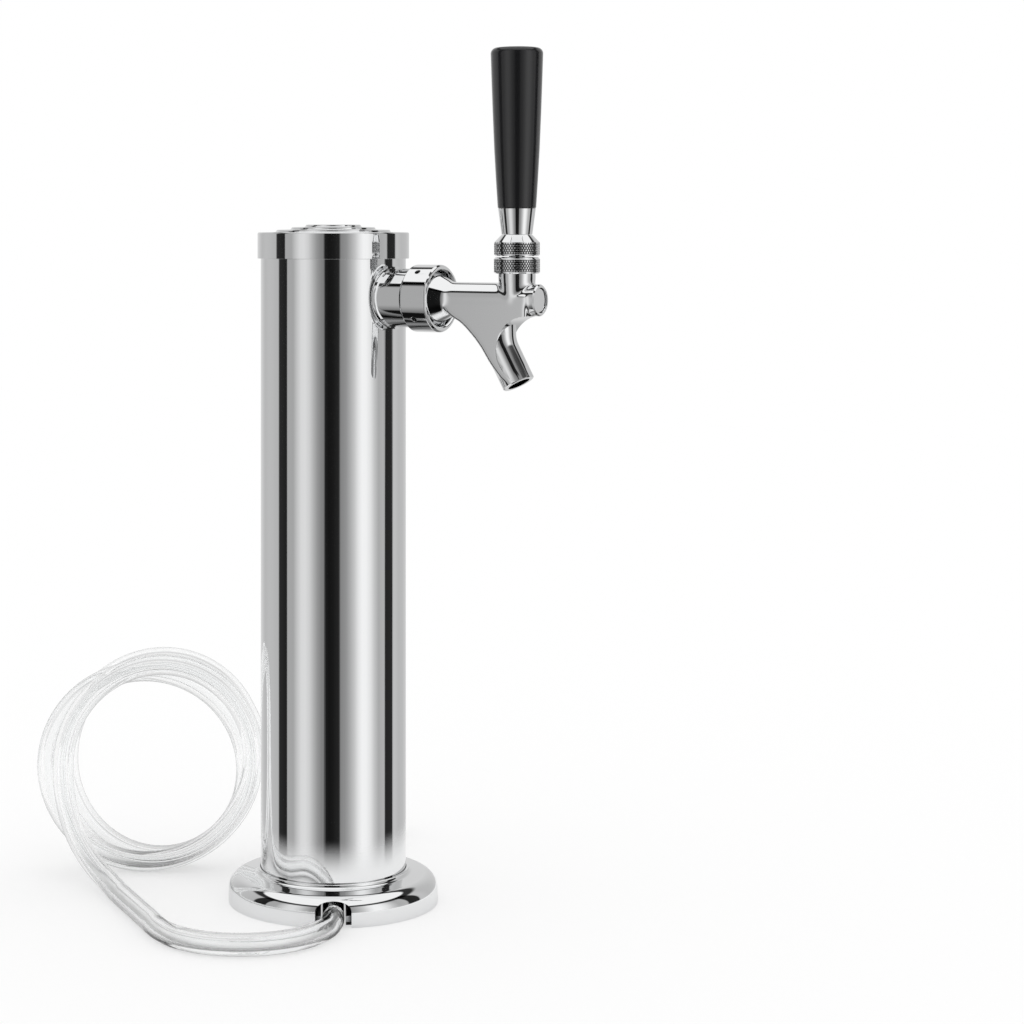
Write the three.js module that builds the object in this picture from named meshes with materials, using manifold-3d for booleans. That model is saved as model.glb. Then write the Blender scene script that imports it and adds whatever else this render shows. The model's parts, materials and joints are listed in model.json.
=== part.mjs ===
// Beer tower: a round column on a covered foot, with one self closing tap and its clear beer line.
// Millimetres, +Z up. The tap points along +X. The foot stands on z = 0.

import * as THREE from 'three';
import { mergeVertices } from 'three/addons/utils/BufferGeometryUtils.js';
import Module from 'manifold-3d';

const wasm = await Module();
wasm.setup();

// Clearances
const fitGap = 0.3;
const seatGap = 0.1;
const overrun = 2;
const weld = 0.0001;

// Column
const columnDiameter = 76.2;
const columnWall = 1.4;
const columnLength = 344.2;
const shankDrop = 32.2;

// Foot: gasket, screwed flange and pressed cover
const gasketThickness = 1.5;
const gasketBore = 56;
const flangeThickness = 3;
const flangeInset = 6;
const flangeBore = 56;
const screwInset = 5.5;
const screwHole = 5.4;
const screwCount = 4;
const coverDiameter = 110;
const coverDraft = 1;
const coverRimHeight = 10.2;
const coverShoulder = 3;
const coverSlope = 1.1;
const coverSheet = 1;
const coverCove = 2.6;
const coverLip = 0.9;
const coverLipHeight = 1;

// Notch in the foot where the line comes out
const notchWidth = 18.4;
const notchSide = 8.2;
const notchHeight = 12.9;
const notchCrownShare = 0.38;
const notchDepth = 5.5;

// Cap and its grip
const capSkirt = 13.7;
const capWall = 1.4;
const capRoof = 1.3;
const capEdge = 0.8;
const capStep = 1.35;
const capStepShares = [0.745, 0.548, 0.358];
const capSlope = 0.5;
const gripHeight = 10.5;
const gripWall = 2.6;

// Foam inside the column
const foamBore = 30;
const foamTopDrop = 38.5;
const foamFootHeight = 60;

// Shank through the column wall
const shankDiameter = 22.2;
const springBore = 18.4;
const waterBore = 6.4;
const springLedge = 8.1;
const shankTailStart = 17.1;
const shankTailEnd = 26.1;
const shankTailDiameter = 16;
const shankFlangeDiameter = 27.2;
const shankFlange = 2.2;
const saddleLength = 13.2;
const saddleDiameter = 30.2;
const saddleFlare = 32.4;
const saddleFlareWidth = 1.2;
const bracketDiameter = 31;
const bracketDepth = 6;
const lockNutFlats = 30;
const lockNutLength = 5.8;

// Coupling nut
const nutDiameter = 34.5;
const nutLength = 15.4;
const nutLip = 2.4;
const nutChamfer = 0.9;
const nutMouth = 0.8;
const spannerHole = 2.7;
const spannerHoleDepth = 2;
const spannerHoleSetback = 7.7;
const spannerHoleCount = 4;
const spannerHoleTurn = THREE.MathUtils.degToRad(30);

// Tail elbow, its nut and its clamp
const tailGasket = 1.2;
const elbowFlange = 1.6;
const elbowFlangeDiameter = 15.2;
const elbowDiameter = 7;
const elbowBore = 3.4;
const elbowBend = 8;
const elbowReach = 4.5;
const barbLength = 22;
const barbDiameter = 6;
const barbRidge = 0.35;
const barbRidges = 3;
const tailNutFlats = 24;
const tailNutFloor = 2.5;
const tailNutLength = 13;
const clampWidth = 7;
const clampBand = 0.9;
const clampEar = 3;
const clampDrop = 9;

// Faucet body
const faucetGasket = 1.5;
const collarDiameter = 28.2;
const collarLength = 5.4;
const bellDiameter = 24;
const bellLength = 8.6;
const barrelDiameter = 17;
const faucetBore = 12.6;
const seatBore = 16.4;
const seatDepth = 4;
const leverReach = 72.7;
const neckDiameter = 18.6;
const neckRise = 13;
const neckThread = 18.4;
const neckTop = 16.3;
const fingerBore = 12;
const ballBore = 13.2;
const ballLedge = 11.6;
const guideDiameter = 15.8;
const guideFront = 86.4;
const guideEdge = 0.6;
const spoutReach = 62.7;
const spoutDiameter = 16.8;
const spoutBore = 11.6;
const spoutDrop = 16.6;
const spoutBend = 20;
const spoutLength = 17.9;
const spoutAngle = THREE.MathUtils.degToRad(29);
const webThickness = 16;
const webTop = 2;
const archRadius = 17;
const archSetback = 2.6;
const swooshShares = [[0.21, 0.06], [0.43, 0.19], [0.73, 0.5], [0.91, 0.76]];
const swooshTopShare = 0.86;

// Valve
const headDiameter = 12;
const headRecess = 0.7;
const headBack = 1.5;
const slotWidth = 5.7;
const slotBack = 3;
const slotFront = 5.1;
const slotFloor = 2.9;
const rodDiameter = 5.2;
const rodEnd = 3.5;
const rodEndDiameter = 4.4;
const washerDiameter = 14.6;
const washerThickness = 3;
const valveNutFlats = 9;
const valveNutLength = 3.5;
const springWide = 17.6;
const springNarrow = 10.4;
const springWire = 1.2;
const springTurns = 6;

// Lever, bonnet and handle, heights from the middle of the ball
const pivotRise = 13.5;
const ballDiameter = 12.4;
const stemDiameter = 8;
const fingerLength = 15.5;
const fingerRoot = 5.6;
const fingerTip = 4;
const bonnetDiameter = 23;
const bonnetFoot = 0.2;
const bonnetTop = 8;
const bonnetRoof = 4.2;
const bonnetEdge = 0.9;
const bonnetHole = 11.2;
const bonnetMouth = 15.4;
const frictionWasher = 0.8;
const frictionBore = 11.6;
const leverCollarDiameter = 22.8;
const leverCollarFoot = 8.6;
const leverCollarHollow = 13.8;
const leverCollarBand = 7.2;
const leverCollarCone = 3.3;
const leverCollarEdge = 0.4;
const ferruleFoot = 15.4;
const ferruleTop = 18.8;
const ferruleLength = 13.2;
const gripFoot = 19.2;
const gripTop = 26.2;
const gripLength = 80.2;
const gripEdge = 3;
const gripBellyShare = 0.55;
const insertDiameter = 12;
const insertLength = 18;
const stemInsert = 12;

// Clear beer line
const lineDiameter = 11.1;
const lineBore = 4.8;
const lineBend = 46;
const lineRest = 0.05;
const lineSetback = 8;
const slotPlay = 0.8;
const hoseTurn = THREE.MathUtils.degToRad(34);

// Hand chosen places of the free line, in the turned frame of the notch: across the floor, up into
// the coil, and down from it to the fitting
const runPlaces = [
  [0, -58.4, 5.6], [-0.9, -65.8, 5.6], [-3.4, -74.2, 5.6], [-13.2, -88.8, 5.6], [-27.8, -98.6, 5.6],
  [-45, -102, 5.6], [-62.2, -98.6, 5.6], [-76.8, -88.8, 5.6], [-86.9, -73.3, 5.6], [-92.4, -59.2, 5.6],
  [-98, -44.8, 5.6], [-102.5, -33.2, 5.6],
];
const risePlaces = [
  [-107, -21.6, 5.6], [-109.3, -15.7, 5.6], [-113.2, -5.6, 5.7], [-119.8, 9.3, 7.6], [-126, 18.6, 10.8],
  [-132.5, 27, 16.3], [-138.3, 34.1, 24], [-142.8, 39.5, 33.7], [-145.8, 43.1, 44.7],
];
const tailPlaces = [
  [-36.3, 78.1, 51.7], [-32.4, 81.4, 40.7], [-27.4, 86.2, 30.8], [-21, 92.7, 22.8], [-12.6, 101.3, 16.8],
];
const tailEnd = [13.4, 126.1, 13.55];
const tailTurn = THREE.MathUtils.degToRad(43);

// The coil, standing on the floor behind the column
const coilRadius = 53;
const coilBreath = 2;
const coilSway = 5;
const coilCentre = -99;
const coilDepth = 46;
const coilPitch = 12.1;
const coilTurns = 2.43;

// Fitting on the far end of the line
const kegBarb = 20;
const kegNeck = 9.6;
const kegNeckLength = 10;
const kegFlange = 19;
const kegFlangeLength = 2.4;
const kegBore = 4;
const kegNutFlats = 27;
const kegNutLength = 14;
const kegNutFloor = 3.4;
const kegNutBore = 20;

// How finely round shapes are cut
const largeRound = 40;
const middleRound = 24;
const smallRound = 16;
const hoseSides = 8;
const coilSides = 6;
const coilSteps = 24;
const springSides = 5;
const springSteps = 12;
const arcSteps = 4;

// Worked out places
const columnRadius = columnDiameter / 2;
const boreRadius = columnRadius - columnWall;
const flangeTop = gasketThickness + flangeThickness;
const columnTop = flangeTop + columnLength;
const shankHeight = columnTop - shankDrop;
const coverRadius = coverDiameter / 2;
const flangeDiameter = coverDiameter - 2 * flangeInset;
const screwCircle = flangeDiameter - 2 * screwInset;
const capRadius = columnRadius + fitGap + capWall;
const nutRear = saddleLength + fitGap;
const nutFront = nutRear + nutLength;
const shankFlangeRear = nutRear + nutLip + seatGap;
const shankFront = shankFlangeRear + shankFlange;
const collarRear = shankFront + 2 * seatGap + faucetGasket;
const collarFront = collarRear + collarLength;
const bellEnd = collarFront + bellLength;
const seatFace = collarRear + seatDepth;
const lineRadius = lineDiameter / 2;
const lineHeight = lineRadius + lineRest;
const frontReach = Math.max(guideFront, leverReach + gripTop / 2) + columnRadius;
const frameShift = (coverRadius - frontReach) / 2;

const finishes = {
  stainless: { color: 0xd2d4d6, roughness: 0.08, metalness: 1 },
  chrome: { color: 0xe2e4e6, roughness: 0.05, metalness: 1 },
  steel: { color: 0xa9acb0, roughness: 0.35, metalness: 1 },
  brass: { color: 0xc2a15a, roughness: 0.3, metalness: 1 },
  blackPlastic: { color: 0x0c0c0d, roughness: 0.18, metalness: 0 },
  greyPlastic: { color: 0x6d7074, roughness: 0.5, metalness: 0 },
  whiteNylon: { color: 0xe9e6dc, roughness: 0.45, metalness: 0 },
  rubber: { color: 0x1c1c1e, roughness: 0.7, metalness: 0 },
  foam: { color: 0xd9cfae, roughness: 0.9, metalness: 0 },
  vinyl: { color: 0xe8ecee, roughness: 0.12, metalness: 0 },
};

// Joins shared corners, drops empty triangles and turns the faces outward.
function closedSurface(geometry) {
  const bare = geometry.clone();
  bare.deleteAttribute('normal');
  bare.deleteAttribute('uv');
  const merged = mergeVertices(bare, weld);
  const places = merged.getAttribute('position');
  const corners = merged.index.array;
  const kept = [];
  const a = new THREE.Vector3();
  const b = new THREE.Vector3();
  const c = new THREE.Vector3();
  let volume = 0;
  for (let i = 0; i < corners.length; i += 3) {
    const [p, q, r] = [corners[i], corners[i + 1], corners[i + 2]];
    if (p === q || q === r || r === p) continue;
    a.fromBufferAttribute(places, p);
    b.fromBufferAttribute(places, q);
    c.fromBufferAttribute(places, r);
    volume += a.dot(b.cross(c));
    kept.push([p, q, r]);
  }
  const facing = volume < 0 ? kept.map(([p, q, r]) => [p, r, q]) : kept;
  merged.setIndex(new THREE.BufferAttribute(new Uint32Array(facing.flat()), 1));
  return merged;
}

function solidOf(geometry) {
  const surface = closedSurface(geometry);
  const vertProperties = new Float32Array(surface.getAttribute('position').array);
  return new wasm.Manifold(new wasm.Mesh({ numProp: 3, vertProperties, triVerts: surface.index.array }));
}

function geometryOf(solid) {
  const mesh = solid.getMesh();
  const geometry = new THREE.BufferGeometry();
  geometry.setAttribute('position', new THREE.BufferAttribute(new Float32Array(mesh.vertProperties), 3));
  geometry.setIndex(new THREE.BufferAttribute(new Uint32Array(mesh.triVerts), 1));
  return geometry;
}

function joined(...pieces) {
  return geometryOf(pieces.map(solidOf).reduce((sum, piece) => sum.add(piece)));
}

function cut(piece, ...tools) {
  return geometryOf(tools.map(solidOf).reduce((rest, tool) => rest.subtract(tool), solidOf(piece)));
}

function common(piece, other) {
  return geometryOf(solidOf(piece).intersect(solidOf(other)));
}

// A profile of [radius, height] pairs turned about +Z.
function turned(profile, steps = smallRound) {
  const points = profile.map(([radius, height]) => new THREE.Vector2(radius, height));
  return new THREE.LatheGeometry(points, steps).rotateX(Math.PI / 2);
}

// The same profile turned about +X, its heights running forward.
function turnedForward(profile, steps = smallRound) {
  return turned(profile, steps).rotateY(Math.PI / 2);
}

function pin(diameter, from, to, steps) {
  return turned([[0, from], [diameter / 2, from], [diameter / 2, to], [0, to]], steps);
}

function bar(diameter, from, to, steps) {
  return turnedForward([[0, from], [diameter / 2, from], [diameter / 2, to], [0, to]], steps);
}

function ring(outer, inner, from, to) {
  return [[inner / 2, from], [outer / 2, from], [outer / 2, to], [inner / 2, to], [inner / 2, from]];
}

// A six sided bar along +X with flats above and below.
function hexBar(flats, from, to) {
  const corner = flats / (2 * Math.cos(Math.PI / 6));
  const shape = new THREE.Shape();
  for (let i = 0; i < 6; i += 1) {
    const angle = (i * Math.PI) / 3;
    const place = [corner * Math.cos(angle), corner * Math.sin(angle)];
    if (i === 0) shape.moveTo(...place);
    else shape.lineTo(...place);
  }
  const options = { depth: to - from, bevelEnabled: false };
  return new THREE.ExtrudeGeometry(shape, options).translate(0, 0, from).rotateZ(Math.PI / 2)
    .rotateY(Math.PI / 2);
}

// Points of an arc in a profile, from one angle to another in degrees.
function arc(centre, radius, from, to, steps = arcSteps) {
  const points = [];
  for (let i = 0; i <= steps; i += 1) {
    const angle = THREE.MathUtils.degToRad(from + ((to - from) * i) / steps);
    points.push([centre[0] + radius * Math.cos(angle), centre[1] + radius * Math.sin(angle)]);
  }
  return points;
}

// A round section drawn along a curve.
function tube(curve, diameter, steps, sides) {
  const shape = new THREE.Shape();
  for (let i = 0; i < sides; i += 1) {
    const angle = (i * 2 * Math.PI) / sides;
    const place = [(diameter / 2) * Math.cos(angle), (diameter / 2) * Math.sin(angle)];
    if (i === 0) shape.moveTo(...place);
    else shape.lineTo(...place);
  }
  return new THREE.ExtrudeGeometry(shape, { steps, bevelEnabled: false, extrudePath: curve });
}

function curveThrough(places) {
  const points = places.map((place) => new THREE.Vector3(...place));
  return new THREE.CatmullRomCurve3(points, false, 'centripetal');
}

// The least gap between turns of a round wire, measured on points spread along its centre line.
function leastGap(curve, diameter, count) {
  const points = curve.getSpacedPoints(count);
  const step = curve.getLength() / count;
  const skip = Math.ceil((2 * diameter) / step);
  let least = Infinity;
  for (let i = 0; i < points.length; i += 1) {
    for (let j = i + skip; j < points.length; j += 1) {
      least = Math.min(least, points[i].distanceTo(points[j]));
    }
  }
  return least - diameter;
}

function part(name, geometry, finish) {
  const material = new THREE.MeshStandardMaterial(finishes[finish]);
  const mesh = new THREE.Mesh(closedSurface(geometry), material);
  mesh.name = name;
  return mesh;
}

// An upright arch shaped tool that reaches outward from the column's axis along the notch.
function archTool(width, side, height, crown, from, to) {
  const half = width / 2;
  const shape = new THREE.Shape();
  shape.moveTo(-half, -overrun);
  shape.lineTo(half, -overrun);
  shape.lineTo(half, side);
  shape.quadraticCurveTo(half, height, crown / 2, height);
  shape.lineTo(-crown / 2, height);
  shape.quadraticCurveTo(-half, height, -half, side);
  const options = { depth: to - from, bevelEnabled: false, curveSegments: arcSteps };
  return new THREE.ExtrudeGeometry(shape, options).rotateX(Math.PI / 2).translate(0, -from, 0)
    .rotateZ(hoseTurn);
}

function lineSlotTool(from, to) {
  const width = lineDiameter + 2 * slotPlay;
  const top = lineHeight + lineRadius + slotPlay;
  return archTool(width, top - width / 2, top, width / 4, from, to);
}

function towerColumn() {
  const wall = turned(ring(columnDiameter, 2 * boreRadius, flangeTop, columnTop), largeRound);
  const hole = bar(shankDiameter + 2 * fitGap, 0, columnDiameter, middleRound).translate(0, 0, shankHeight);
  return cut(wall, hole, lineSlotTool(boreRadius / 2, columnDiameter));
}

function screwHoles() {
  const holes = [];
  for (let i = 0; i < screwCount; i += 1) {
    const angle = hoseTurn + ((i + 0.5) * 2 * Math.PI) / screwCount;
    const hole = pin(screwHole, -overrun, flangeTop + overrun);
    holes.push(hole.translate((screwCircle / 2) * Math.cos(angle), (screwCircle / 2) * Math.sin(angle), 0));
  }
  return holes;
}

function baseFlange() {
  const plate = turned(ring(flangeDiameter, flangeBore, gasketThickness, flangeTop), largeRound);
  return cut(plate, ...screwHoles(), lineSlotTool(0, flangeDiameter));
}

function baseGasket() {
  const sheet = turned(ring(flangeDiameter, gasketBore, 0, gasketThickness), largeRound);
  return cut(sheet, ...screwHoles(), lineSlotTool(0, flangeDiameter));
}

function baseCover() {
  const rim = coverRadius - coverDraft;
  const shoulder = [rim - coverShoulder, coverRimHeight];
  const slopeFoot = coverRimHeight + coverShoulder;
  const lipRadius = columnRadius + fitGap + coverLip;
  const slopeTop = slopeFoot + coverSlope;
  const cove = [lipRadius + coverCove, slopeTop + coverCove];
  const inner = columnRadius + fitGap;
  const outline = [
    [coverRadius - coverSheet, 0],
    [coverRadius, 0],
    ...arc(shoulder, coverShoulder, 0, 90),
    ...arc(cove, coverCove, 270, 180),
    [lipRadius, slopeTop + coverCove + coverLipHeight],
    [inner, slopeTop + coverCove + coverLipHeight],
    [inner, slopeTop - coverSheet],
    [lipRadius + coverCove, slopeTop - coverSheet],
    ...arc(shoulder, coverShoulder - coverSheet, 90, 0),
    [coverRadius - coverSheet, 0],
  ];
  const shell = turned(outline, largeRound);
  const from = coverRadius - notchDepth;
  return cut(shell, archTool(notchWidth, notchSide, notchHeight, notchWidth * notchCrownShare, from,
    coverRadius + overrun));
}

function topCap() {
  const roof = columnTop + fitGap;
  const crown = roof + capRoof;
  const foot = crown - capSkirt;
  const inner = columnRadius + fitGap;
  const outline = [
    [inner, foot],
    [capRadius, foot],
    ...arc([capRadius - capEdge, crown - capEdge], capEdge, 0, 90, 3),
  ];
  capStepShares.forEach((share, i) => {
    const radius = capRadius * share;
    const low = crown + capSlope * (i + 1) / capStepShares.length + (capStep - capSlope / 3) * i;
    const high = low + capStep - capSlope / 3;
    outline.push([radius + capEdge, low], [radius + capEdge / 3, high - capEdge / 3], [radius, high]);
  });
  const peak = outline[outline.length - 1][1];
  outline.push([0, peak], [0, roof], [inner, roof], [inner, foot]);
  return turned(outline, largeRound);
}

// A moulded plug under the cap that grips the column's bore.
function capGrip() {
  const top = columnTop + fitGap - seatGap;
  const outer = boreRadius - fitGap;
  const foot = top - gripHeight;
  return turned([
    [0, top - gripWall],
    [outer - gripWall, top - gripWall],
    [outer - gripWall, foot],
    [outer - capEdge, foot],
    [outer, foot + capEdge],
    [outer, top],
    [0, top],
  ], largeRound);
}

function foamSleeve() {
  const top = shankHeight - foamTopDrop;
  return turned(ring(2 * (boreRadius - fitGap), foamBore, foamFootHeight, top), middleRound);
}

function nearColumn(geometry) {
  return geometry.translate(-columnRadius, 0, 0);
}

// The outer sleeve of the shank, hollowed to sit on the column's skin, with a thin lip that follows it.
function shankSaddle() {
  const bore = shankDiameter + 2 * fitGap;
  const body = saddleDiameter / 2;
  const rear = -columnRadius / 2;
  const sleeve = turnedForward([
    [bore / 2, rear],
    [body, rear],
    [body, saddleLength - nutChamfer],
    [body - nutChamfer, saddleLength],
    [bore / 2, saddleLength],
    [bore / 2, rear],
  ], middleRound);
  const around = (lift) => nearColumn(pin(columnDiameter + 2 * lift, -columnRadius, columnRadius, largeRound));
  const lip = common(turnedForward(ring(saddleFlare, bore, rear, saddleLength), middleRound),
    around(fitGap + saddleFlareWidth));
  return cut(joined(sleeve, lip), around(fitGap));
}
// The bracket washer inside the column, rounded to its bore, under the lock nut.
function shankBracket() {
  const face = -columnWall - bracketDepth;
  const blank = turnedForward(ring(bracketDiameter, shankDiameter + 2 * fitGap, face, 0), middleRound);
  return common(blank, nearColumn(pin(2 * (boreRadius - fitGap), -columnRadius, columnRadius, largeRound)));
}

function lockNut() {
  const front = -columnWall - bracketDepth - seatGap;
  return cut(hexBar(lockNutFlats, front - lockNutLength, front),
    bar(shankDiameter + 2 * fitGap, front - lockNutLength - overrun, front + overrun, middleRound));
}

function shankBody() {
  return turnedForward([
    [waterBore / 2, -shankTailEnd],
    [shankTailDiameter / 2, -shankTailEnd],
    [shankTailDiameter / 2, -shankTailStart],
    [shankDiameter / 2, -shankTailStart],
    [shankDiameter / 2, shankFlangeRear],
    [shankFlangeDiameter / 2, shankFlangeRear],
    [shankFlangeDiameter / 2, shankFront],
    [springBore / 2, shankFront],
    [springBore / 2, -springLedge],
    [waterBore / 2, -springLedge],
    [waterBore / 2, -shankTailEnd],
  ], middleRound);
}

function couplingNut() {
  const outer = nutDiameter / 2;
  const inner = collarDiameter / 2 + fitGap;
  const throat = shankDiameter / 2 + fitGap;
  const body = turnedForward([
    [throat, nutRear],
    [outer - nutChamfer, nutRear],
    [outer, nutRear + nutChamfer],
    [outer, nutFront - nutChamfer],
    [outer - nutChamfer, nutFront],
    [inner + nutMouth, nutFront],
    [inner, nutFront - nutMouth],
    [inner, nutRear + nutLip],
    [throat, nutRear + nutLip],
    [throat, nutRear],
  ], largeRound);
  const holes = [];
  for (let i = 0; i < spannerHoleCount; i += 1) {
    const angle = spannerHoleTurn + (i * 2 * Math.PI) / spannerHoleCount;
    const hole = pin(spannerHole, outer - spannerHoleDepth, outer + overrun);
    holes.push(hole.rotateX(angle).translate(nutRear + spannerHoleSetback, 0, 0));
  }
  return cut(body, ...holes);
}

function tailGasketRing() {
  const rear = -shankTailEnd - seatGap - tailGasket;
  return turnedForward(ring(elbowFlangeDiameter, waterBore, rear, rear + tailGasket));
}

const elbowFront = -shankTailEnd - 2 * seatGap - tailGasket;
const elbowCorner = elbowFront - elbowReach - elbowFlange;

// Ridges that hold a hose on a barb, as a profile that narrows away from the fitting.
function barbProfile(length) {
  const pitch = length / barbRidges;
  const points = [[0, -length]];
  for (let i = barbRidges; i > 0; i -= 1) {
    points.push([barbDiameter / 2 - barbRidge, -pitch * i]);
    points.push([barbDiameter / 2 + barbRidge, -pitch * (i - 0.75)]);
    points.push([barbDiameter / 2 - barbRidge, -pitch * (i - 0.8)]);
  }
  points.push([barbDiameter / 2 - barbRidge, overrun], [0, overrun]);
  return points;
}

// The elbow's centre line: back from its flange, round the bend and down by some length.
function elbowPath(front, length) {
  const bendX = elbowCorner - elbowBend;
  const corner = new THREE.Vector3(bendX, 0, 0);
  const bendStart = new THREE.Vector3(elbowCorner, 0, 0);
  const bendEnd = new THREE.Vector3(bendX, 0, -elbowBend);
  const path = new THREE.CurvePath();
  path.add(new THREE.LineCurve3(new THREE.Vector3(front, 0, 0), bendStart));
  path.add(new THREE.QuadraticBezierCurve3(bendStart, corner, bendEnd));
  path.add(new THREE.LineCurve3(bendEnd, new THREE.Vector3(bendX, 0, -elbowBend - length)));
  return path;
}

function elbowBarb() {
  const flange = bar(elbowFlangeDiameter, elbowFront - elbowFlange, elbowFront);
  const pipe = tube(elbowPath(elbowFront - seatGap, seatGap), elbowDiameter, middleRound / 2, smallRound);
  const barb = turned(barbProfile(barbLength)).translate(elbowCorner - elbowBend, 0, -elbowBend - fitGap);
  const bore = tube(elbowPath(elbowFront + overrun, barbLength + overrun), elbowBore, middleRound, smallRound / 2);
  return cut(joined(flange, pipe, barb), bore);
}

function tailNut() {
  const rear = elbowFront - elbowFlange - seatGap - tailNutFloor;
  const body = hexBar(tailNutFlats, rear, rear + tailNutLength);
  const throat = bar(elbowDiameter + 2 * fitGap, rear - overrun, rear + tailNutLength);
  const cup = bar(shankTailDiameter + 2 * fitGap, rear + tailNutFloor, rear + tailNutLength + overrun);
  return cut(body, throat, cup);
}

const barbX = elbowCorner - elbowBend;
const lineTop = -elbowBend - 2 * fitGap;

// A crimped band with its pinched ear, around a line that runs along +Z.
function crimpClamp(diameter) {
  const band = turned(ring(diameter + 2 * (fitGap + clampBand), diameter + 2 * fitGap, 0, clampWidth));
  const ear = new THREE.BoxGeometry(clampEar, clampEar, clampWidth)
    .translate(diameter / 2 + fitGap + clampBand / 2 + clampEar / 2, 0, clampWidth / 2);
  return joined(band, ear);
}

// The held part of the line: from the barb down the column and out through the foot.
function innerLine() {
  const away = new THREE.Vector2(Math.sin(hoseTurn), -Math.cos(hoseTurn));
  const top = shankHeight + lineTop;
  const bendHeight = lineHeight + lineBend;
  const places = [[barbX + columnRadius, 0, top], [barbX + columnRadius, 0, top - barbLength]];
  const steps = 2 * arcSteps;
  for (let i = 0; i <= steps; i += 1) {
    const angle = (i * Math.PI) / 2 / steps;
    const out = lineBend - lineSetback - lineBend * Math.cos(angle);
    places.push([away.x * out, away.y * out, bendHeight - lineBend * Math.sin(angle)]);
  }
  const mouth = coverRadius - notchDepth / 2;
  places.push([away.x * mouth, away.y * mouth, lineHeight]);
  const curve = curveThrough(places);
  const count = Math.ceil(curve.getLength() / (2 * lineRadius));
  const body = tube(curve, lineDiameter, count, smallRound / 2);
  const bore = tube(curve, lineBore, count, hoseSides);
  const socket = pin(barbDiameter + 2 * (barbRidge + fitGap), -barbLength - fitGap, overrun)
    .translate(barbX + columnRadius, 0, top);
  return cut(body, bore, socket, ...lineEnds(curve));
}

// Short bars that open the bore at both ends of a line. Their flats lie outside the bore's corners.
function lineEnds(curve) {
  const around = lineBore / Math.cos(Math.PI / hoseSides);
  return [0, 1].map((end) => {
    const place = curve.getPointAt(end);
    const along = curve.getTangentAt(end);
    const plug = pin(around, -overrun, overrun, hoseSides);
    plug.applyQuaternion(new THREE.Quaternion().setFromUnitVectors(new THREE.Vector3(0, 0, 1), along));
    return plug.translate(place.x, place.y, place.z);
  });
}

function faucetGasketRing() {
  const rear = shankFront + seatGap;
  return turnedForward(ring(shankFlangeDiameter, springBore + 2 * seatGap, rear, rear + faucetGasket), middleRound);
}

// The spout's centre line: down, round a bend and forward, from above the barrel's axis to its mouth.
function spoutPath(extra) {
  const forward = new THREE.Vector3(Math.sin(spoutAngle), 0, -Math.cos(spoutAngle));
  const top = new THREE.Vector3(spoutReach, 0, 0);
  const bendStart = new THREE.Vector3(spoutReach, 0, -spoutDrop);
  const corner = bendStart.clone();
  corner.z -= spoutBend * Math.tan(spoutAngle / 2);
  const bendEnd = corner.clone().addScaledVector(forward, spoutBend * Math.tan(spoutAngle / 2));
  const mouth = bendEnd.clone().addScaledVector(forward, spoutLength + extra);
  const path = new THREE.CurvePath();
  path.add(new THREE.LineCurve3(top, bendStart));
  path.add(new THREE.QuadraticBezierCurve3(bendStart, corner, bendEnd));
  path.add(new THREE.LineCurve3(bendEnd, mouth));
  return path;
}

// The middle of the web's rounded back edge, which sweeps from the barrel down to the back of the spout.
function swooshCurve() {
  const bendEnd = spoutPath(0).curves[2].v1;
  const start = new THREE.Vector2(bellEnd, -(barrelDiameter / 2) * swooshTopShare);
  const land = new THREE.Vector2(bendEnd.x, bendEnd.z);
  land.x -= (spoutDiameter / 2) * Math.cos(spoutAngle);
  land.y -= (spoutDiameter / 2) * Math.sin(spoutAngle);
  const span = land.clone().sub(start);
  const sweep = swooshShares.map(([x, y]) => new THREE.Vector2(start.x + span.x * x, start.y + span.y * y));
  const edge = new THREE.SplineCurve([start, ...sweep, land]);
  const steps = 2 * arcSteps;
  const places = [];
  for (let i = 0; i <= steps; i += 1) {
    const along = edge.getTangentAt(i / steps);
    const place = edge.getPointAt(i / steps);
    places.push([place.x - (along.y * webThickness) / 2, 0, place.y + (along.x * webThickness) / 2]);
  }
  return places;
}

// The cast web between barrel and spout, with a rounded back and a crisp arch under the guide.
function castWeb() {
  const bendEnd = spoutPath(0).curves[2].v1;
  const back = swooshCurve();
  const archX = spoutReach + archSetback + archRadius;
  const archZ = -guideDiameter / 2 - archRadius;
  const shape = new THREE.Shape();
  shape.moveTo(bellEnd, webTop);
  back.forEach(([x, , z]) => shape.lineTo(x, z));
  shape.lineTo(bendEnd.x, bendEnd.z);
  shape.absarc(archX, archZ, archRadius, Math.PI, Math.PI / 2, true);
  shape.lineTo(archX, webTop);
  const options = { depth: webThickness, bevelEnabled: false, curveSegments: 2 * arcSteps };
  const slab = new THREE.ExtrudeGeometry(shape, options).translate(0, 0, -webThickness / 2).rotateX(Math.PI / 2);
  return [slab, tube(curveThrough(back), webThickness, 2 * arcSteps, smallRound)];
}

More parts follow.
